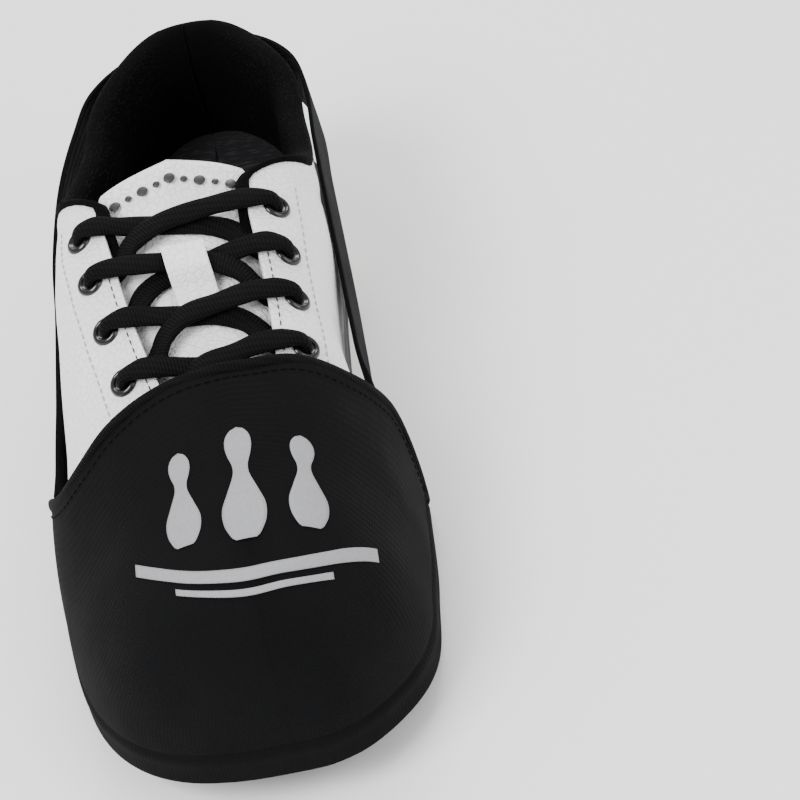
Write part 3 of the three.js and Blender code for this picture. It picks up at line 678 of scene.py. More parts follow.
def mapped_grid(
    across: int, along: int, place: Callable[[Array, Array], Array], cloth: tuple[float, float],
    outward: Callable[[Array], Array], weld: float = 1e-5,
) -> bmesh.types.BMesh:
    """Return a grid laid over a surface.

    Args:
        across: cells in u.
        along: cells in v.
        place: gives design points from u and v, each 0 to 1.
        cloth: the surface's size in u and v, in millimetres, for its UV map.
        outward: gives, for a design point, a direction that its faces should face.
        weld: vertices closer than this many metres are joined.

    Returns:
        The bmesh, in metres.
    """
    bm = bmesh.new()
    bm.loops.layers.uv.new("UVMap")
    bmesh.ops.create_grid(bm, x_segments=across, y_segments=along, size=0.5, calc_uvs=True)
    uv = bm.loops.layers.uv.active
    for face in bm.faces:
        for loop in face.loops:
            u, v = loop.vert.co.x + 0.5, loop.vert.co.y + 0.5
            loop[uv].uv = (u * cloth[0] * MM, v * cloth[1] * MM)
    flat = np.array([v.co[:2] for v in bm.verts]) + 0.5
    points = place(np.clip(flat[:, 0], 0, 1), np.clip(flat[:, 1], 0, 1))
    metres = to_frame(points)
    for vert, co in zip(bm.verts, metres):
        vert.co = co
    bm.normal_update()
    middle = np.array([f.calc_center_median() for f in bm.faces])
    facing = np.array([f.normal for f in bm.faces])
    areas = np.array([f.calc_area() for f in bm.faces])
    wanted = outward((middle - ORIGIN) / MM)
    if (np.einsum("ij,ij->i", facing, wanted) * areas).sum() < 0:
        bmesh.ops.reverse_faces(bm, faces=bm.faces)
    if weld:
        bmesh.ops.remove_doubles(bm, verts=bm.verts, dist=weld)
        bmesh.ops.dissolve_degenerate(bm, edges=bm.edges, dist=1e-7)
    return bm


def from_axis(points: Array) -> Array:
    """Return directions from the shoe's inner axis, for panels that wrap it."""
    axis = np.stack([points[:, 0] * 0.8, RIDGE_Y(points[:, 0]) * 0.5, np.full(len(points), 38.0)], -1)
    return unit(points - axis)


def relax(bm: bmesh.types.BMesh, verts: Sequence[bmesh.types.BMVert], times: int = 1) -> None:
    """Draw vertices towards their neighbours, a number of times."""
    for _ in range(times):
        bmesh.ops.smooth_vert(
            bm, verts=verts, factor=0.5, use_axis_x=True, use_axis_y=True, use_axis_z=True,
        )


def thicken(piece: bpy.types.Object, wall: float, round_by: float = 0.35, offset: float = -1.0) -> None:
    """Give a sheet a wall and rounded edges.

    Args:
        piece: the sheet.
        wall: its thickness in millimetres.
        round_by: the edge radius in millimetres.
        offset: -1 adds the wall inwards, 1 outwards.
    """
    solid = piece.modifiers.new("wall", "SOLIDIFY")
    solid.thickness = wall * MM
    solid.offset = offset
    solid.use_even_offset = False
    bevel = piece.modifiers.new("edge", "BEVEL")
    bevel.width = round_by * MM
    bevel.segments = 2
    bevel.limit_method = "ANGLE"
    bevel.angle_limit = math.radians(50)
    bevel.use_clamp_overlap = True


def sweep(
    path: Array, wide: Array, thick: Array, half_width: Array, half_thick: Array, power: float = 2.6,
    sides: int = 14, close: bool = True,
) -> bmesh.types.BMesh:
    """Return a rounded band swept along a path.

    Args:
        path: design points along its middle.
        wide: unit vectors of its width at each point.
        thick: unit vectors of its thickness.
        half_width: half its width at each point.
        half_thick: half its thickness.
        power: squareness of its section.
        sides: faces round it.
        close: whether its ends are drawn to a point and closed.
    """
    count = len(path)
    steps = np.linalg.norm(np.diff(path, axis=0), axis=1)
    run = np.concatenate([[0], np.cumsum(steps)])
    length = run[-1]
    if close:
        end = np.minimum(run, length - run)
        cap = np.sqrt(np.clip(1 - (1 - np.clip(end / 1.2, 0, 1)) ** 2, 0, 1))
        cap[0] = cap[-1] = 0.0
        half_width, half_thick = half_width * cap, half_thick * cap

    def place(u: Array, v: Array) -> Array:
        """Return design points at grid places (u, v)."""
        k = np.clip(np.rint(u * (count - 1)).astype(int), 0, count - 1)
        a = v * 2 * np.pi
        c, s = np.cos(a), np.sin(a)
        r = (np.abs(c) ** power + np.abs(s) ** power) ** (-1 / power)
        across = wide[k] * (r * c * half_width[k])[:, None]
        return path[k] + across + thick[k] * (r * s * half_thick[k])[:, None]

    bm = mapped_grid(count - 1, sides, place, (length, 4 * float(half_width.max())), lambda p: p * 0)
    bmesh.ops.recalc_face_normals(bm, faces=bm.faces)
    return bm


def smooth_path(points: Sequence[Sequence[float]], spacing: float) -> Array:
    """Return a centripetal Catmull-Rom curve through points, sampled at an even spacing in millimetres."""
    p = np.array(points, float)
    p = np.vstack([2 * p[0] - p[1], p, 2 * p[-1] - p[-2]])
    knots = np.concatenate([[0], np.cumsum(np.sqrt(np.linalg.norm(np.diff(p, axis=0), axis=1)))])
    fine = []
    for i in range(1, len(p) - 2):
        t0, t1, t2, t3 = knots[i - 1:i + 3]
        t = np.linspace(t1, t2, 16, endpoint=False)[:, None]
        a1 = (t1 - t) / (t1 - t0) * p[i - 1] + (t - t0) / (t1 - t0) * p[i]
        a2 = (t2 - t) / (t2 - t1) * p[i] + (t - t1) / (t2 - t1) * p[i + 1]
        a3 = (t3 - t) / (t3 - t2) * p[i + 1] + (t - t2) / (t3 - t2) * p[i + 2]
        b1 = (t2 - t) / (t2 - t0) * a1 + (t - t0) / (t2 - t0) * a2
        b2 = (t3 - t) / (t3 - t1) * a2 + (t - t1) / (t3 - t1) * a3
        fine.append((t2 - t) / (t2 - t1) * b1 + (t - t1) / (t2 - t1) * b2)
    curve = np.vstack([*fine, p[-2:-1]])
    run = np.concatenate([[0], np.cumsum(np.linalg.norm(np.diff(curve, axis=0), axis=1))])
    at = np.linspace(0, run[-1], max(2, int(run[-1] / spacing)) + 1)
    return np.stack([np.interp(at, run, curve[:, k]) for k in range(3)], -1)


def tangents(path: Array) -> Array:
    """Return unit tangents along a path."""
    return unit(np.gradient(path, axis=0))


@dataclass
class Stitches:
    """A run of thread stitches lying on a surface."""

    name: str
    finish: Finish
    body: str = "shoe"
    length: float = 2.3
    pitch: float = 3.1
    radius: float = 0.33
    lines: list[tuple[Array, Array]] = field(default_factory=list)

    def add(self, points: Array, normals: Array) -> None:
        """Add a seam by points of the surface and their normals."""
        self.lines.append((points, normals))

    def build(self) -> bpy.types.Object:
        """Return every stitch of the run as one piece."""
        bm = bmesh.new()
        for points, normals in self.lines:
            run = np.concatenate([[0], np.cumsum(np.linalg.norm(np.diff(points, axis=0), axis=1))])
            places = np.arange(self.pitch / 2, run[-1], self.pitch)
            p = np.stack([np.interp(places, run, points[:, k]) for k in range(3)], -1)
            n = unit(np.stack([np.interp(places, run, normals[:, k]) for k in range(3)], -1))
            d = unit(np.stack([np.interp(places, run, tangents(points)[:, k]) for k in range(3)], -1))
            for q, up, way in zip(to_frame(p + n * self.radius * 0.35), n, d):
                side = np.cross(up, way)
                axes = Matrix((way * self.length / 2, side * self.radius, up * self.radius))
                turn = Matrix.Scale(MM, 4) @ axes.transposed().to_4x4()
                turn.translation = Vector(q)
                bmesh.ops.create_uvsphere(bm, u_segments=6, v_segments=4, radius=1.0,
                                          matrix=turn @ Matrix.Rotation(math.pi / 2, 4, "Y"))
        bmesh.ops.recalc_face_normals(bm, faces=bm.faces)
        return finish_piece(bm, self.name, self.finish, self.body)


def settle_pole(bm: bmesh.types.BMesh, tip: Array, near: float, far: float) -> None:
    """Lay the vertices round a pole on the curved sheet that fits their neighbours.

    Args:
        bm: the mesh.
        tip: the pole.
        near: radius that is settled, in metres.
        far: radius of the neighbours.
    """

    def terms(points: Array) -> Array:
        """Return the powers of x and y that the sheet's height is made of."""
        x, y = (points[:, 0] - tip[0]) / far, (points[:, 1] - tip[1]) / far
        return np.stack([x * 0 + 1, x, y, x * x, y * y, x * y], -1)

    verts = [v for v in bm.verts if (v.co - Vector(tip)).length < far and not v.is_boundary]
    places = np.array([v.co for v in verts])
    away = np.linalg.norm(places[:, :2] - np.asarray(tip)[:2], axis=1)
    outer = places[away > near * 0.7]
    fit, *_ = np.linalg.lstsq(terms(outer), outer[:, 2], rcond=None)
    places[:, 2] = mix(terms(places) @ fit, places[:, 2], smooth(near * 0.6, near, away))
    for v, place in zip(verts, places):
        v.co = place


# ---------------------------------------------------------------- studio
@dataclass
class Studio:
    """Camera, soft light and a pale floor."""

    azimuth: float = 93.7
    elevation: float = 39.6
    roll: float = -13.7
    distance: float = 0.8
    lens: float = 115.0
    aim: tuple[float, float, float] = (29.1, 54.3, 40.0)

    def camera(self) -> None:
        """Set the camera."""
        az, el, roll = map(math.radians, (self.azimuth, self.elevation, self.roll))
        back = Vector((math.sin(az) * math.cos(el), -math.cos(az) * math.cos(el), math.sin(el)))
        right = (-back).cross(Vector((0, 0, 1))).normalized()
        up = right.cross(-back)
        across = math.cos(roll) * right + math.sin(roll) * up
        upward = -math.sin(roll) * right + math.cos(roll) * up
        place = Matrix((across, upward, back)).transposed().to_4x4()
        aim = Vector(self.aim) * MM + Vector((ORIGIN[0], ORIGIN[1], 0))
        place.translation = aim + back * self.distance
        camera = bpy.data.objects.new("camera", bpy.data.cameras.new("camera"))
        bpy.context.scene.collection.objects.link(camera)
        camera.matrix_world = place
        camera.data.lens = self.lens
        camera.data.sensor_width = 36
        camera.data.clip_start = 0.01
        bpy.context.scene.camera = camera

    def lamp(self, name: str, place: tuple[float, float, float], size: float, power: float) -> None:
        """Add a soft square light aimed at the shoe."""
        light = bpy.data.lights.new(name, "AREA")
        light.size = size
        light.energy = power
        lamp = bpy.data.objects.new(name, light)
        bpy.context.scene.collection.objects.link(lamp)
        lamp.location = place
        lamp.rotation_euler = (Vector((0, 0, 0.05)) - Vector(place)).to_track_quat("-Z", "Y").to_euler()

    def build(self) -> None:
        """Light the scene and lay the floor."""
        self.lamp("key", (0.9, -0.9, 1.5), 0.9, 42)
        self.lamp("fill", (0.8, 1.3, 0.9), 1.2, 14)
        self.lamp("back", (-1.3, 0.1, 1.3), 0.9, 18)
        world = bpy.data.worlds.new("studio")
        world.use_nodes = True
        world.node_tree.nodes["Background"].inputs[0].default_value = (0.98, 0.985, 1.0, 1)
        world.node_tree.nodes["Background"].inputs[1].default_value = 1.0
        bpy.context.scene.world = world
        bm = bmesh.new()
        bmesh.ops.create_grid(bm, x_segments=1, y_segments=1, size=6)
        mesh = bpy.data.meshes.new("floor")
        bm.to_mesh(mesh)
        bm.free()
        floor = bpy.data.objects.new("floor", mesh)
        bpy.context.scene.collection.objects.link(floor)
        paint = Nodes("floor_pale")
        paint.shader.inputs["Roughness"].default_value = 0.7
        paint.feed(paint.shader.inputs["Base Color"],
                   paint.blend(paint.noise(paint.place, 3, 2), (0.93, 0.93, 0.93), (0.945, 0.945, 0.945)))
        mesh.materials.append(paint.material)


# ---------------------------------------------------------------- sole
@dataclass
class Sole:
    """Foam sidewall, slide sole and heel pad."""

    heel_top: float = 7.0
    heel_end: float = -72.0
    heel_inset: float = 0.6
    slide_start: float = -62.0
    slide_inset: float = 0.8
    slide_thick: float = 2.0
    bed_lift: float = 3.4
    bed_thick: float = 3.4
    bed_inset: float = 8.2
    groove: float = 0.55

    def slab(
        self, name: str, node: str, finish: Finish, start: float, stop: float, inset: float, low: Curve,
        high: Curve, wall: Sequence[tuple[float, float]], steps: int,
    ) -> bpy.types.Object:
        """Return a closed layer following the outline.

        Args:
            name: piece name.
            node: the CAD node it replaces.
            finish: its finish.
            start: x of its rear end.
            stop: x of its front end.
            inset: how far it stands in from the outline.
            low: underside height by x.
            high: upper face height by x.
            wall: (how far in, height fraction) down the sidewall from the top.
            steps: cells along each side.
        """
        a0, a1 = float(loop_at(start)), float(loop_at(stop))
        section = [(1.0, 0.0, 1.0), (0.5, 0.0, 1.0), (0.1, 0.0, 1.0), *[(0.0, d, f) for d, f in wall],
                   (0.1, 0.0, 0.0), (0.5, 0.0, 0.0), (1.0, 0.0, 0.0)]
        table = np.array(section)
        rows = len(section) - 1

        def place(u: Array, v: Array) -> Array:
            """Return design points at grid places (u, v)."""
            k = np.clip(np.rint(v * rows).astype(int), 0, rows)
            a = a0 + (a1 - a0) * (1 - np.abs(2 * u - 1))
            c = np.where(u < 0.5, a, 2 - a)
            p = inset_loop(c, inset + table[k, 1])
            middle = CENTRE_Y(p[:, 0])
            y = mix(p[:, 1], middle, table[k, 0])
            x = p[:, 0]
            return np.stack([x, y, mix(low(x), high(x), table[k, 2])], -1)

        bm = mapped_grid(2 * steps, rows, place, (600, 30), lambda p: p * 0)
        edges = [e for e in bm.edges if e.is_boundary]
        if edges:
            bmesh.ops.holes_fill(bm, edges=edges, sides=0)
        bmesh.ops.recalc_face_normals(bm, faces=bm.faces)
        piece = finish_piece(bm, name, finish, "shoe", [node])
        for polygon in piece.data.polygons:
            polygon.use_smooth = True
        edge = piece.modifiers.new("edge", "EDGE_SPLIT")
        edge.split_angle = math.radians(40)
        return piece

    def build(self) -> None:
        """Build the three layers."""
        g = self.groove
        wall = [
            (1.2, 1.0), (0.35, 0.985), (0.0, 0.94), (0.0, 0.70), (0.05, 0.685), (g, 0.665), (g, 0.645),
            (0.05, 0.625), (0.0, 0.61), (0.0, 0.34), (0.05, 0.325), (g, 0.305), (g, 0.285), (0.05, 0.265),
            (0.0, 0.25), (0.0, 0.05), (0.25, 0.01), (0.6, 0.0),
        ]
        self.slab("sole_wall", "midsole", FOAM, -HALF, HALF, 0.0, self.under, FEATHER_Z, wall, 130)
        edge = [(0.5, 1.0), (0.0, 0.85), (0.0, 0.2), (0.5, 0.0)]
        self.slab("slide_layer", "slide_sole", SLIDE, self.slide_start, HALF, self.slide_inset, SLIDE_Z,
                  lambda x: SLIDE_Z(x) + self.slide_thick, edge, 90)
        heel = [(0.7, 1.0), (0.0, 0.93), (0.0, 0.1), (0.7, 0.0)]
        self.slab("heel_layer", "heel_pad", RUBBER, -HALF, self.heel_end, self.heel_inset, lambda x: x * 0,
                  lambda x: x * 0 + self.heel_top, heel, 60)
        bed = [(1.0, 1.0), (0.2, 0.85), (0.0, 0.5), (0.3, 0.0)]
        self.slab("footbed_pad", "footbed", BED, -HALF, HALF, self.bed_inset, self.board_top,
                  lambda x: self.board_top(x) + self.bed_thick, bed, 90)

    def board_top(self, x: Array) -> Array:
        """Return the height that the footbed lies at."""
        return FEATHER_Z(x) + self.bed_lift + GAP * 2

    def under(self, x: Array) -> Array:
        """Return the foam's underside height, with its step at the front of the heel."""
        return mix(np.full(x.shape, self.heel_top + GAP), SLIDE_Z(x) + self.slide_thick + GAP,
                   smooth(-71, -61, x))


# ---------------------------------------------------------------- upper
@dataclass
class Upper:
    """White leather panels and their seams."""

    front_seam: float = 97.0
    seam_gap: float = 0.0035
    strip_top: float = 76.0
    strip_end: float = -124.0
    eyelet_margin: float = 8.4
    facing_margin: float = 2.6
    pad: float = 1.0

    def quarter_offset(self, c: Array, t: Array) -> Array:
        """Return how far the quarter's face stands off the form: a soft roll below the collar's edge."""
        x = UPPER.base(c)[..., 0]
        below = (quarter_top(c) - t) * UPPER.speed(c, np.clip(t, 0.02, 0.98))
        roll = self.pad * bump(below, 9, 7) * (1 - smooth(-48, -30, x))
        tuck = -0.5 * bump(below, 20, 3.5) * (1 - smooth(-60, -36, x)) * smooth(-120, -90, x)
        waves = 0.22 * np.sin(x * 0.21 + t * 5) * np.sin(t * 11 + x * 0.07)
        return roll + tuck + waves * smooth(0.05, 0.3, t) * smooth(3, 8, below)

    def quarter(self, name: str, side: int) -> None:
        """Build one side panel."""
        c0 = self.seam_gap if side < 0 else 2 - self.seam_gap
        c1 = float(base_at(self.front_seam - GAP, side))

        def place(u: Array, v: Array) -> Array:
            """Return design points at grid places (u, v)."""
            c = c0 + (c1 - c0) * u
            t = quarter_top(c) * v
            return UPPER.offset(c, t, self.quarter_offset(c, t))

        bm = mapped_grid(210, 60, place, (290, 80), from_axis)
        piece = finish_piece(bm, name.replace("quarter", "side_panel"), WHITE, "shoe", [name])
        thicken(piece, LEATHER)

    def vamp(self) -> None:
        """Build the toe panel."""
        a0 = float(base_at(self.front_seam, -1))

        def place(u: Array, v: Array) -> Array:
            """Return design points at grid places (u, v)."""
            w = 2 * v - 1
            a = a0 + (1 - a0) * u
            return UPPER.offset(np.where(w < 0, a, 2 - a), 1 - np.abs(w), w * 0)

        bm = mapped_grid(60, 120, place, (60, 180), from_axis)
        tip = to_frame(UPPER.point(np.array([1.0]), np.array([1.0])))[0]
        near = [v for v in bm.verts if (v.co - Vector(tip)).length < 0.016 and not v.is_boundary]
        relax(bm, near, 25)
        piece = finish_piece(bm, "toe_panel", WHITE, "shoe", ["vamp"])
        thicken(piece, LEATHER)

    def backstay(self) -> None:
        """Build the strip over the heel seam."""
        reach = float(base_at(self.strip_end, -1))

        def place(u: Array, v: Array) -> Array:
            """Return design points at grid places (u, v)."""
            c = reach * (2 * u - 1)
            t = UPPER.t_at_z(c, np.full(c.shape, self.strip_top)) * v
            return UPPER.offset(c, t, np.full(c.shape, GAP + 1.3 + self.pad * 0.6))

        bm = mapped_grid(48, 40, place, (60, 60), from_axis)
        piece = finish_piece(bm, "heel_strip", WHITE, "shoe", ["backstay"])
        thicken(piece, 1.5)

    def seams(self) -> None:
        """Sew the panels."""
        white = Stitches("seams_white", THREAD)
        for side in (-1, 1):
            x = np.linspace(-31, 92, 90)
            c, t = UPPER.locate(x, side * row_half((x - ROW_X0) / ROW_STEP))
            self.sew(white, c, t - self.eyelet_margin / UPPER.speed(c, t))
            for back in (2.2, 5.0):
                t = np.linspace(0.04, 1.0, 60)
                c = np.full(t.shape, float(base_at(self.front_seam - back, side)))
                self.sew(white, c, t * quarter_top(c) * 0.97)
            t = np.linspace(0.05, 0.9, 40)
            c = np.full(t.shape, float(base_at(self.strip_end, side)))
            c = c + (0.006 if side < 0 else -0.006)
            top = UPPER.t_at_z(c, np.full(t.shape, self.strip_top))
            self.sew(white, np.where(c > 1.5, c - 2, c) * 0.93, t * top, GAP + 1.4 + self.pad * 0.6)
        white.build()
        dark = Stitches("seams_dark", THREAD_DARK, radius=0.26)
        for side in (-1, 1):
            x = np.linspace(-2, 88, 70)
            self.sew(dark, *UPPER.locate(x, side * (FACING_HALF(x) + self.facing_margin)))
        dark.build()

    def sew(self, seam: Stitches, c: Array, t: Array, n: float = 0.0) -> None:
        """Add a seam along places of the upper's form."""
        off = self.quarter_offset(c, t) + n if n == 0 else np.full(c.shape, n)
        seam.add(UPPER.offset(c, t, off), UPPER.normal(c, t))

    def build(self) -> None:
        """Build the panels and seams."""
        self.quarter("quarter_lateral", -1)
        self.quarter("quarter_medial", 1)
        self.vamp()
        self.backstay()
        self.seams()


# ---------------------------------------------------------------- collar
@dataclass
class Collar:
    """Padded black lining that rolls over the topline and runs down the facing as piping."""

    ends: float = -9.0
    roll: Sequence[tuple[float, float]] = (
        (4.6, 0.9), (3.2, 1.6), (1.2, 2.1), (-0.8, 1.5), (-2.0, -0.4), (-2.1, -2.8), (-0.6, -5.2),
        (2.5, -6.8), (7, -8.0), (13, -8.6), (20, -8.2),
    )
    piping: Sequence[tuple[float, float]] = (
        (1.4, 0.5), (1.1, 1.0), (0.3, 1.5), (-1.0, 1.6), (-2.4, 1.1), (-3.1, -0.2), (-2.8, -1.7),
        (-1.1, -2.7), (1.6, -3.0), (4.4, -3.0), (6.2, -3.0),
    )

    def build(self) -> None:
        """Build the lining."""
        a_end = float(base_at(self.ends, -1))
        count = len(self.roll)
        table_v = np.linspace(0, 0.62, count)
        curves = [
            Profile(*zip(table_v, [row[k] for row in rows]))
            for rows in (self.roll, self.piping) for k in (0, 1)
        ]

        def place(u: Array, v: Array) -> Array:
            """Return design points at grid places (u, v)."""
            q = 2 * u - 1
            c = a_end * q
            x = UPPER.base(c)[..., 0]
            thin = smooth(-47, -37, x)
            top = quarter_top(c)
            speed = UPPER.speed(c, np.minimum(top, 0.97))
            d = mix(curves[0](v), curves[2](v), thin)
            n = mix(curves[1](v), curves[3](v), thin)
            foot = mix(np.full(v.shape, 0.02), top - 8 / speed, smooth(-24, -12, x))
            low = smooth(0.62, 1.0, v) * (v > 0.62)
            t = mix(top - d / speed, foot, low)
            n = mix(n, mix(-5.2, -3.0, thin), low)
            sink = smooth(0.95, 0.995, np.abs(q))
            swell = 0.35 * np.sin(x * 0.16) * bump(v, 0.35, 0.2) * (1 - thin)
            normal = UPPER.normal(c, np.minimum(top, 0.985))
            edge = UPPER.point(c, np.clip(t, 0, 1))
            up = UPPER.point(c, np.minimum(top, 1)) - UPPER.point(c, top - 0.02)
            lip = unit(up) * (np.maximum(-d, 0) * (v < 0.62))[:, None]
            edge = np.where((d < 0)[:, None] & (v < 0.62)[:, None], UPPER.point(c, top) + lip, edge)
            local = UPPER.normal(c, np.clip(t, 0.02, 0.985))
            facing = unit(mix(normal, local, smooth(0.5, 0.75, v)[:, None]))
            return edge + facing * mix(n + swell, -3.2, sink)[:, None]

        bm = mapped_grid(260, 72, place, (420, 75), lambda p: -from_axis(p))
        edge_rows = [v for v in bm.verts if not v.is_boundary]
        relax(bm, edge_rows)
        back = [v for v in edge_rows if v.co.x < spot(-126, 0, 0)[0] and abs(v.co.y - ORIGIN[1]) < 9 * MM]
        relax(bm, back, 16)
        piece = finish_piece(bm, "collar_pad", LINING, "shoe", ["collar_lining"])
        thicken(piece, 0.9, 0.2)


# ---------------------------------------------------------------- tongue
@dataclass
class Tongue:
    """Padded tongue with its tip, studs and lace keeper."""

    back: float = -39.0
    front: float = 81.0
    half: Curve = Profile((-40, 24), (-36, 26.5), (-20, 28), (20, 27), (66, 22), (90, 20))
    lift: Curve = Profile((-39, 6.5), (-34, 3.4), (-28, 0.6), (-22, 0))
    thick: float = 5.2
    loop: tuple[float, float] = (-6.4, 21.5)
    loop_half: float = 6.8
    bend: Bend = Bend("shoe", "tongue_tip", spot(-26, 0, 92), spot(-36, 0, 94))

    def surface(self, x: Array, w: Array, n: Array) -> Array:
        """Return points over the tongue's face: w from -1 to 1 across it, n above it."""
        bend = 5 * w * w * np.clip((-20 - x) / 25, 0, 1)
        return UPPER.at(x + bend, self.half(x) * w, TONGUE_TOP + self.lift(x) + n)

    def pad(self) -> None:
        """Build the padded tongue as one closed piece that bends at its tip."""

        def place(u: Array, v: Array) -> Array:
            """Return design points at grid places (u, v)."""
            x = self.back + (self.front - self.back) * u
            a = v * 2 * np.pi
            c, s = np.cos(a), np.sin(a)
            power = 4.0
            r = (np.abs(c) ** power + np.abs(s) ** power) ** (-1 / power)
            end = np.minimum(x - self.back, self.front - x)
            cap = np.sqrt(np.clip(1 - (1 - np.clip(end / 2.6, 0, 1)) ** 2, 0, 1))
            half_t = self.thick / 2 * cap * (0.62 + 0.38 * smooth(0.0, 12, x - self.back))
            puff = 0.5 * (1 - (r * c) ** 2) * smooth(0, 10, x - self.back) * (s > 0)
            return self.surface(x, np.clip(r * c, -1, 1), r * s * half_t - self.thick / 2 + 0.1 + puff)

        bm = mapped_grid(130, 84, place, (120, 110), lambda p: p * 0)
        bmesh.ops.recalc_face_normals(bm, faces=bm.faces)
        bm.normal_update()
        piece = finish_piece(bm, "tongue_pad", WHITE, self.bend, ["tongue", "tongue_lining", "tongue_tip"])
        piece.data.materials.append(LINING.material())
        for polygon in piece.data.polygons:
            if polygon.normal.z < 0.12:
                polygon.material_index = 1

    def studs(self) -> None:
        """Press a row of round studs along the tongue's arch."""
        bm = bmesh.new()
        for k in range(9):
            w = (k - 4) * 0.185
            radius = 1.9 if k % 2 == 0 else 1.2
            x = np.array([-33.2 + 1.2 * abs(k - 4) * 0.4])
            p = self.surface(x, np.array([w]), np.array([0.75]))[0]
            q = self.surface(x, np.array([w]), np.array([1.75]))[0]
            up = Vector(unit(q - p))
            turn = Vector((0, 0, 1)).rotation_difference(up).to_matrix().to_4x4()
            place = Matrix.Translation(Vector(to_frame(p))) @ turn
            size = Matrix.Diagonal((radius * MM, radius * MM, 0.45 * MM, 1))
            bmesh.ops.create_uvsphere(bm, u_segments=20, v_segments=10, radius=1.0, matrix=place @ size)
        finish_piece(bm, "tongue_studs", STUD, self.bend)

    def keeper(self) -> None:
        """Build the loop that holds the laces to the tongue."""
        rise = Profile(
            (self.loop[0], -5.0), (-5.2, -4.4), (-2.8, 2.3), (1.5, 2.7), (6.5, 2.2), (12, -3.4),
            (self.loop[1], -4.6),
        )

        def place(u: Array, v: Array) -> Array:
            """Return design points at grid places (u, v)."""
            x = self.loop[0] + (self.loop[1] - self.loop[0]) * u
            return UPPER.at(x, (2 * v - 1) * self.loop_half, rise(x) + 1.0)

        bm = mapped_grid(60, 14, place, (32, 13.6), lambda p: np.array([[0.2, 0, 1.0]]).repeat(len(p), 0))
        piece = finish_piece(bm, "keeper_strap", WHITE, "shoe", ["tongue_keeper"])
        thicken(piece, 1.2, 0.3)
        seam = Stitches("keeper_stitches", THREAD, length=1.7, pitch=2.2, radius=0.28)
        half = np.linspace(-5.2, 5.2, 12)
        x = self.loop[1] - 2.2
        c, t = UPPER.locate(np.full(12, x), np.where(np.abs(half) < 0.01, 0.01, half))
        seam.add(UPPER.offset(c, t, np.full(12, float(rise(x)) + 1.1)), UPPER.normal(c, t))
        seam.build()

    def build(self) -> None:
        """Build the tongue's pieces."""
        self.pad()
        self.studs()
        self.keeper()


# ---------------------------------------------------------------- eyelets and lace
@dataclass
class Eyelets:
    """Glossy black ring eyelets, six rows on each side."""

    flange: float = 4.8
    hole: float = 2.7

    def ring(self, name: str, x: float, half: float, node: str) -> None:
        """Spin one eyelet and set it on the upper."""
        f, h = self.flange, self.hole
        profile = [(0.0, 0.22), (h - 0.5, 0.25), (h, 0.5), (h + 0.4, 1.1), (h + 0.9, 1.35), (f - 0.7, 1.15),
                   (f - 0.15, 0.7), (f, 0.2), (f - 0.1, -0.3)]
        bm = bmesh.new()
        bm.loops.layers.uv.new("UVMap")
        verts = [bm.verts.new((r * MM, 0, z * MM)) for r, z in profile]
        edges = [bm.edges.new(pair) for pair in zip(verts, verts[1:])]
        bmesh.ops.spin(bm, geom=verts + edges, cent=(0, 0, 0), axis=(0, 0, 1), angle=2 * math.pi, steps=36,
                       use_merge=True)
        bmesh.ops.remove_doubles(bm, verts=bm.verts, dist=1e-6)
        rim = [e for e in bm.edges if e.is_boundary]
        bmesh.ops.holes_fill(bm, edges=rim, sides=0)
        bmesh.ops.recalc_face_normals(bm, faces=bm.faces)
        c, t = UPPER.locate(np.array([x]), np.array([half]))
        up = Vector(UPPER.normal(c, t)[0])
        place = Matrix.Translation(Vector(to_frame(UPPER.point(c, t))[0]))
        place = place @ Vector((0, 0, 1)).rotation_difference(up).to_matrix().to_4x4()
        bmesh.ops.transform(bm, matrix=place, verts=bm.verts)
        piece = finish_piece(bm, name, EYELET, "shoe", [node])
        smooth_it = piece.modifiers.new("round", "SUBSURF")
        smooth_it.levels = smooth_it.render_levels = 1

    def build(self) -> None:
        """Build the twelve eyelets."""
        for row in range(ROWS):
            for side, word in ((-1, "lateral"), (1, "medial")):
                half = side * row_half(row)
                self.ring(f"ring_{word}_{row + 1}", row_x(row), half, f"eyelet_{word}_{row + 1}")


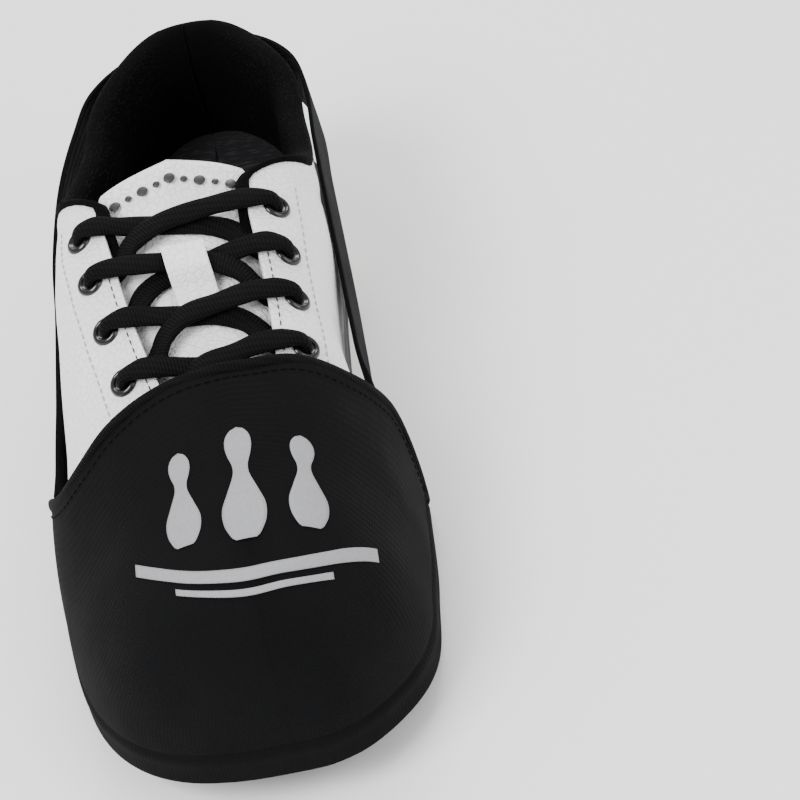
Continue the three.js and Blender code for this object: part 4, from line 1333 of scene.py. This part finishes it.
@dataclass
class Lace:
    """One flat woven lace, its crossings and its tucked ends."""

    under: float = -3.6
    over: float = -0.1
    top: float = 3.0
    tuck: float = -7.2
    half_width: float = 3.9
    half_thick: float = 1.45
    on_top: Sequence[int] = (1, -1, 1, 1, -1)

    def turn_up(self, side: int, row: int) -> list[Array]:
        """Return the half turn through an eyelet, from below to above."""
        low = self.under - 0.3
        radius, middle = (self.top - low) / 2, (self.top + low) / 2
        x = np.array([row_x(row)])
        half = np.array([side * row_half(row)])
        c, t = UPPER.locate(x, half)
        hole, out = UPPER.point(c, t)[0], UPPER.normal(c, t)[0]
        inward = UPPER.at(x, half - side, 0)[0] - hole
        inward = unit(inward - out * inward.dot(out))
        turn = []
        for degrees in (-90, -45, 0, 45, 90):
            a = math.radians(degrees)
            turn.append(hole + out * (middle + radius * math.sin(a)) + inward * radius * (1 - math.cos(a)))
        return turn

    def crossing(self, side: int, row: int, over: bool) -> list[Array]:
        """Return one pass over the tongue to below the next row's eyelet on the other side."""
        level = self.over if over else self.under
        near, far = float(FACING_HALF(row_x(row))), float(FACING_HALF(row_x(row + 1)))
        steps = [
            (near + 1, 0.01, 2.5), (near - 6, 0.03, 1.2 if over else -0.9),
            (5.5, 0.08, level), (-5.5, 0.2, level),
            (6.5 - far, 0.45, -1.9 if over else self.under), (1.5 - far, 0.75, self.under),
        ]
        return [UPPER.at(row_x(row) + ROW_STEP * u, side * half, n) for half, u, n in steps]

    def run(self, side: int) -> list[Array]:
        """Return the zigzag that starts at the first row on a side."""
        path = self.turn_up(side, 0)
        for row in range(ROWS - 1):
            path += self.crossing(side, row, self.on_top[row] == side)
            side = -side
            path += self.turn_up(side, row + 1)
        return path

    def tucked(self, side: int) -> list[Array]:
        """Return the end that goes down inside the shoe from the first row."""
        start = ((-19, 30, self.under - 2), (-16, 38, self.tuck))
        path = [UPPER.at(x, side * half, n) for x, half, n in start]
        for x, z in ((-12, 72), (-2, 62), (8, 56), (18, 53), (28, 51), (38, 49), (48, 47)):
            c = base_at(np.array([x]), side)
            path.append(UPPER.offset(c, UPPER.t_at_z(c, np.array([z])), np.array([self.tuck]))[0])
        return path

    def build(self) -> None:
        """Weave the lace and cap its ends."""
        bar = [UPPER.at(row_x(5), row_half(5) * (2 * f - 1), 2.3) for f in (0.16, 0.34, 0.5, 0.66, 0.84)]
        first = 1 if self.run(1)[-1][1] < self.run(-1)[-1][1] else -1
        route = self.tucked(first)[::-1] + self.run(first) + bar
        route += self.run(-first)[::-1] + self.tucked(-first)
        path = smooth_path(route, 0.9)
        way = tangents(path)
        rows = np.array([UPPER.at(row_x(r), s * row_half(r), 0) for r in range(ROWS) for s in (-1, 1)])
        down = unit(rows[-2:].mean(0) - rows[:2].mean(0))
        lean = down - way * (way @ down)[:, None]
        wide = np.zeros_like(path)
        middle = len(path) // 2
        for order in (range(middle, len(path)), range(middle, -1, -1)):
            last = unit(lean[middle])
            for i in order:
                carried = last - way[i] * last.dot(way[i])
                side = lean[i] * math.copysign(1, lean[i].dot(carried) or 1)
                last = unit(carried + side * smooth(0.3, 0.9, np.linalg.norm(lean[i])) * 1.5)
                wide[i] = last
        near = np.linalg.norm(path[:, None] - rows[None], axis=2).min(1)
        open_out = smooth(3.2, 9.0, near)
        half_width = mix(2.4, self.half_width, open_out) * (1 + 0.04 * np.sin(np.arange(len(path)) * 0.37))
        half_thick = mix(1.9, self.half_thick, open_out)
        bm = sweep(path, wide, np.cross(way, wide), half_width, half_thick, 2.2, 16)
        length = float(np.linalg.norm(np.diff(path, axis=0), axis=1).sum())
        finish_piece(bm, "lace_braided", LACE_BRAID, "shoe", ["lace"])
        LOG.info("lace route %.0f mm", length)
        for end, side in ((self.tucked(-1), "lateral"), (self.tucked(1), "medial")):
            along = unit(end[-1] - end[-2])
            path = end[-1] + along * np.linspace(GAP, GAP + 20, 24)[:, None]
            wide = np.tile(unit(np.cross(along, np.array([0, 1.0, 0]))), (24, 1))
            ring = np.full(24, 1.5)
            bm = sweep(path, wide, np.cross(np.tile(along, (24, 1)), wide), ring, ring, 2.0, 16)
            finish_piece(bm, f"lace_tip_{side}", AGLET, "shoe", [f"aglet_{side}"])


# ---------------------------------------------------------------- slide cover
@dataclass
class SlideCover:
    """Stretch cover over the toe, with its binding, slick base, print and heel strap."""

    band: float = 10.0
    strap_width: float = 22.0
    strap_thick: float = 1.8

    def dome_offset(self, c: Array, t: Array, w: Array) -> Array:
        """Return how far the knit stands off its form: a seam groove above the rim, and soft pulls."""
        p = COVER.point(c, t)
        up = t * COVER.speed(c, np.clip(t, 0.02, 0.98)) * 0.92
        seam = -0.7 * bump(up, self.band, 0.9) + 0.35 * bump(up, self.band - 2.6, 1.8)
        where = smooth(8, 30, up) * (1 - smooth(60, 120, p[:, 0]))
        pull = 0.35 * np.sin(p[:, 1] * 0.16 + p[:, 0] * 0.05) * where
        return COVER_WALL + seam + pull

    @staticmethod
    def off_ridge(place: Vector) -> float:
        """Return how far a place is from the ridge line in plan, in millimetres."""
        return abs((place.y - ORIGIN[1]) / MM - float(RIDGE_Y((place.x - ORIGIN[0]) / MM)))

    def dome(self) -> bmesh.types.BMesh:
        """Build the knit dome; return a copy of its shape for the print to lie on."""

        def place(u: Array, v: Array) -> Array:
            """Return design points at grid places (u, v)."""
            w = 2 * v - 1
            a0 = loop_at(mouth_x(w) * HALF / (HALF - COVER.inset))
            a = a0 + (1 - a0) * u
            c = np.where(w < 0, a, 2 - a)
            return COVER.offset(c, 1 - np.abs(w), self.dome_offset(c, 1 - np.abs(w), w))

        bm = mapped_grid(110, 220, place, (95, 220), from_axis, 2e-5)
        tip = Vector(to_frame(COVER.point(np.array([1.0]), np.array([1.0])))[0])
        near = [v for v in bm.verts if (v.co - tip).length < 0.026 and not v.is_boundary]
        relax(bm, near, 60)
        spine = [v for v in bm.verts if self.off_ridge(v.co) < 7 and v.co.z > 0.06 and not v.is_boundary]
        relax(bm, spine, 20)
        pole = [v for v in bm.verts if (v.co - tip).length < 4 * MM]
        bmesh.ops.remove_doubles(bm, verts=pole, dist=0.9 * MM)
        settle_pole(bm, np.array(tip), 6 * MM, 11 * MM)
        bm.normal_update()
        shape = bm.copy()
        piece = finish_piece(bm, "cover_dome", KNIT_BLACK, "slide_cover", ["slide_cover_top"])
        thicken(piece, COVER_WALL, 0.3)
        area = sum(f.calc_area() for f in shape.faces)
        return shape

    def base(self) -> None:
        """Build the slick panel under the ball of the foot."""
        a0 = float(loop_at(30 * HALF / (HALF + 2.4)))

        def place(u: Array, v: Array) -> Array:
            """Return design points at grid places (u, v)."""
            a = a0 + (1 - a0) * u
            lateral = inset_loop(a, 0.9 - 2.4)
            medial = inset_loop(2 - a, 0.9 - 2.4, COVER.widen)
            p = mix(lateral, medial, v[:, None])
            return np.concatenate([p, (SLIDE_Z(p[:, 0]) - GAP)[:, None]], -1)

        bm = mapped_grid(60, 60, place, (122, 110), lambda p: np.array([[0, 0, 1.0]]).repeat(len(p), 0), 2e-5)
        piece = finish_piece(bm, "cover_base_panel", PANEL, "slide_cover", ["slide_cover_sole"])
        thicken(piece, 1.6, 0.3)

    def edging(self) -> None:
        """Build the braided binding round the mouth and its stitches."""
        w = np.linspace(-0.985, 0.985, 330)
        c, t = cover_place(mouth_x(w) - 0.9, w)
        path = smooth_path(COVER.offset(c, t, np.full(w.shape, 1.0))[::3], 1.0)
        way = tangents(path)
        out = from_axis(path)
        out = unit(out - way * np.einsum("ij,ij->i", out, way)[:, None])
        wide = np.cross(out, way)
        size = np.ones(len(path))
        bm = sweep(path, wide, out, size * 2.1, size * 1.55, 2.4, 14)
        finish_piece(bm, "mouth_binding", BRAID, "slide_cover", ["cover_binding"])
        rows = Stitches("mouth_stitches", BRAID, "slide_cover", length=2.2, pitch=2.9, radius=0.3)
        w = np.linspace(-0.97, 0.97, 260)
        c, t = cover_place(mouth_x(w) + 4.2, w)
        rows.add(COVER.offset(c, t, self.dome_offset(c, t, w)), COVER.normal(c, t))
        rows.build()

    def motif(self, shape: bmesh.types.BMesh) -> None:
        """Lay a plain printed motif on the dome: three skittles over a bar."""
        tree = BVHTree.FromBMesh(shape)
        outline_of = Profile(
            (0, 0.0), (0.02, 1.6), (0.08, 3.1), (0.16, 3.5), (0.24, 3.0), (0.32, 2.1), (0.4, 2.1),
            (0.55, 3.9), (0.7, 5.6), (0.84, 5.4), (0.95, 4.0), (0.99, 3.1), (1.0, 2.6),
        )

        pole = COVER.point(np.array([1.0]), np.array([1.0]))[0]

        def lay(points: Array) -> Array:
            """Drop plan points on to the dome, a little higher over the pole where its columns meet."""
            dropped = []
            for x, y in points:
                hit, _, _, _ = tree.ray_cast(Vector(spot(x, y, 150)), Vector((0, 0, -1)))
                lift = 0.4 + 0.6 * float(bump(math.hypot(x - pole[0], y - pole[1]), 0, 3.5))
                lifted = Vector(hit) + Vector((0, 0, lift * MM))
                dropped.append((np.array(lifted) - ORIGIN) / MM)
            return np.array(dropped)

        bm_all = bmesh.new()
        pins = ((84.0, -18.0, 33.0), (79.0, 0.0, 41.0), (84.0, 18.0, 33.0))
        for top, aside, tall in pins:
            scale = tall / 36.0

            def place(u: Array, v: Array) -> Array:
                """Return design points at grid places (u, v)."""
                x = top - 6 + tall * u
                y = RIDGE_Y(top) + aside + (2 * v - 1) * outline_of(u) * scale
                return lay(np.stack([x, y], -1))

            self.merge(bm_all, mapped_grid(48, 10, place, (tall, 10), from_axis))
        for x0, length, thick in ((124.5, 34.0, 4.2), (131.0, 22.0, 2.0)):
            def strip(u: Array, v: Array) -> Array:
                """Return points of one bar, bowed towards the toe's edge."""
                y = float(RIDGE_Y(100)) + (2 * v - 1) * length
                return lay(np.stack([x0 + thick * u - 0.014 * (length * (2 * v - 1)) ** 2, y], -1))

            self.merge(bm_all, mapped_grid(4, 60, strip, (thick, 2 * length), from_axis))
        shape.free()
        piece = finish_piece(bm_all, "cover_print", PRINT, "slide_cover")
        solid = piece.modifiers.new("wall", "SOLIDIFY")
        solid.thickness = 0.00022
        solid.offset = -1

    @staticmethod
    def merge(into: bmesh.types.BMesh, part: bmesh.types.BMesh) -> None:
        """Add one bmesh's faces to another."""
        mesh = bpy.data.meshes.new("part")
        part.to_mesh(mesh)
        part.free()
        into.from_mesh(mesh)
        bpy.data.meshes.remove(mesh)

    def strap(self) -> None:
        """Build the elastic band round the heel."""
        path = smooth_path([
            (33.5, -57.4, 25.5), (22, -56.4, 27), (8, -55, 31.5), (-10, -53.9, 37.5), (-30, -52.6, 45),
            (-50, -51.6, 53), (-80, -48, 60), (-105, -42, 64), (-125, -35.5, 66), (-140, -21.5, 67),
            (-147.6, 0.5, 67.5), (-140, 22.5, 67), (-125, 35, 66), (-105, 39.3, 64), (-80, 40, 60),
            (-50, 41.2, 53), (-30, 42, 46), (-10, 42.6, 38.5), (8, 43.4, 33), (20, 45.6, 31),
            (33.5, 48.2, 30),
        ], 1.6)
        way = tangents(path)
        aside = unit(np.stack([-way[:, 1], way[:, 0], way[:, 2] * 0], -1))
        aside = aside * np.sign(np.einsum("ij,ij->i", aside, path * np.array([1, 1, 0]) + 1e-6))[:, None]
        upward = unit(np.cross(way, aside))
        upward = upward * np.sign(upward[:, 2:3])
        u = np.linspace(0, 1, len(path))
        lean = Profile((0, 0.02), (0.2, 0.1), (0.5, 0.04), (0.8, 0.1), (1, 0.02))(u)
        rise = unit(upward - aside * lean[:, None])
        size = np.ones(len(path))
        middle = path + aside * (self.strap_thick / 2)
        taper = mix(0.72, 1.0, smooth(0, 0.07, np.minimum(u, 1 - u)))
        half_width, half_thick = taper * self.strap_width / 2, size * self.strap_thick / 2
        bm = sweep(middle, rise, unit(np.cross(way, rise)), half_width, half_thick, 7.0, 40, close=False)
        bmesh.ops.holes_fill(bm, edges=[e for e in bm.edges if e.is_boundary], sides=0)
        bmesh.ops.recalc_face_normals(bm, faces=bm.faces)
        bend = Bend("shoe", "slide_cover", spot(-148, 0, 60), spot(28, 0, 60))
        finish_piece(bm, "strap_band", ELASTIC, bend, ["heel_strap"])

    def build(self) -> None:
        """Build the cover."""
        shape = self.dome()
        self.base()
        self.edging()
        self.motif(shape)
        self.strap()


def dress_hidden_parts() -> None:
    """Give the CAD nodes that stay their finishes."""
    finishes = {
        "shank": STEEL, "bottom_filler": CORK, "insole_board": BOARD, "toe_puff": STIFFENER,
        "heel_counter": STIFFENER, "vamp_lining": SUEDE_LINING, "quarter_lining_lateral": SUEDE_LINING,
        "quarter_lining_medial": SUEDE_LINING,
    }
    for node, finish in finishes.items():
        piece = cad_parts[node]
        piece.data.materials.clear()
        piece.data.materials.append(finish.material())
        LOG.info("%s keeps its CAD shape, finish %s", node, finish.name)


def main() -> None:
    """Build the scene: camera first, then the shoe from the ground up, then its cover."""
    logging.basicConfig(level=logging.INFO, format="%(name)s: %(message)s")
    studio = Studio()
    studio.camera()
    studio.build()
    dress_hidden_parts()
    Sole().build()
    Upper().build()
    Collar().build()
    Tongue().build()
    Eyelets().build()
    Lace().build()
    SlideCover().build()


if __name__ == "__main__":
    main()
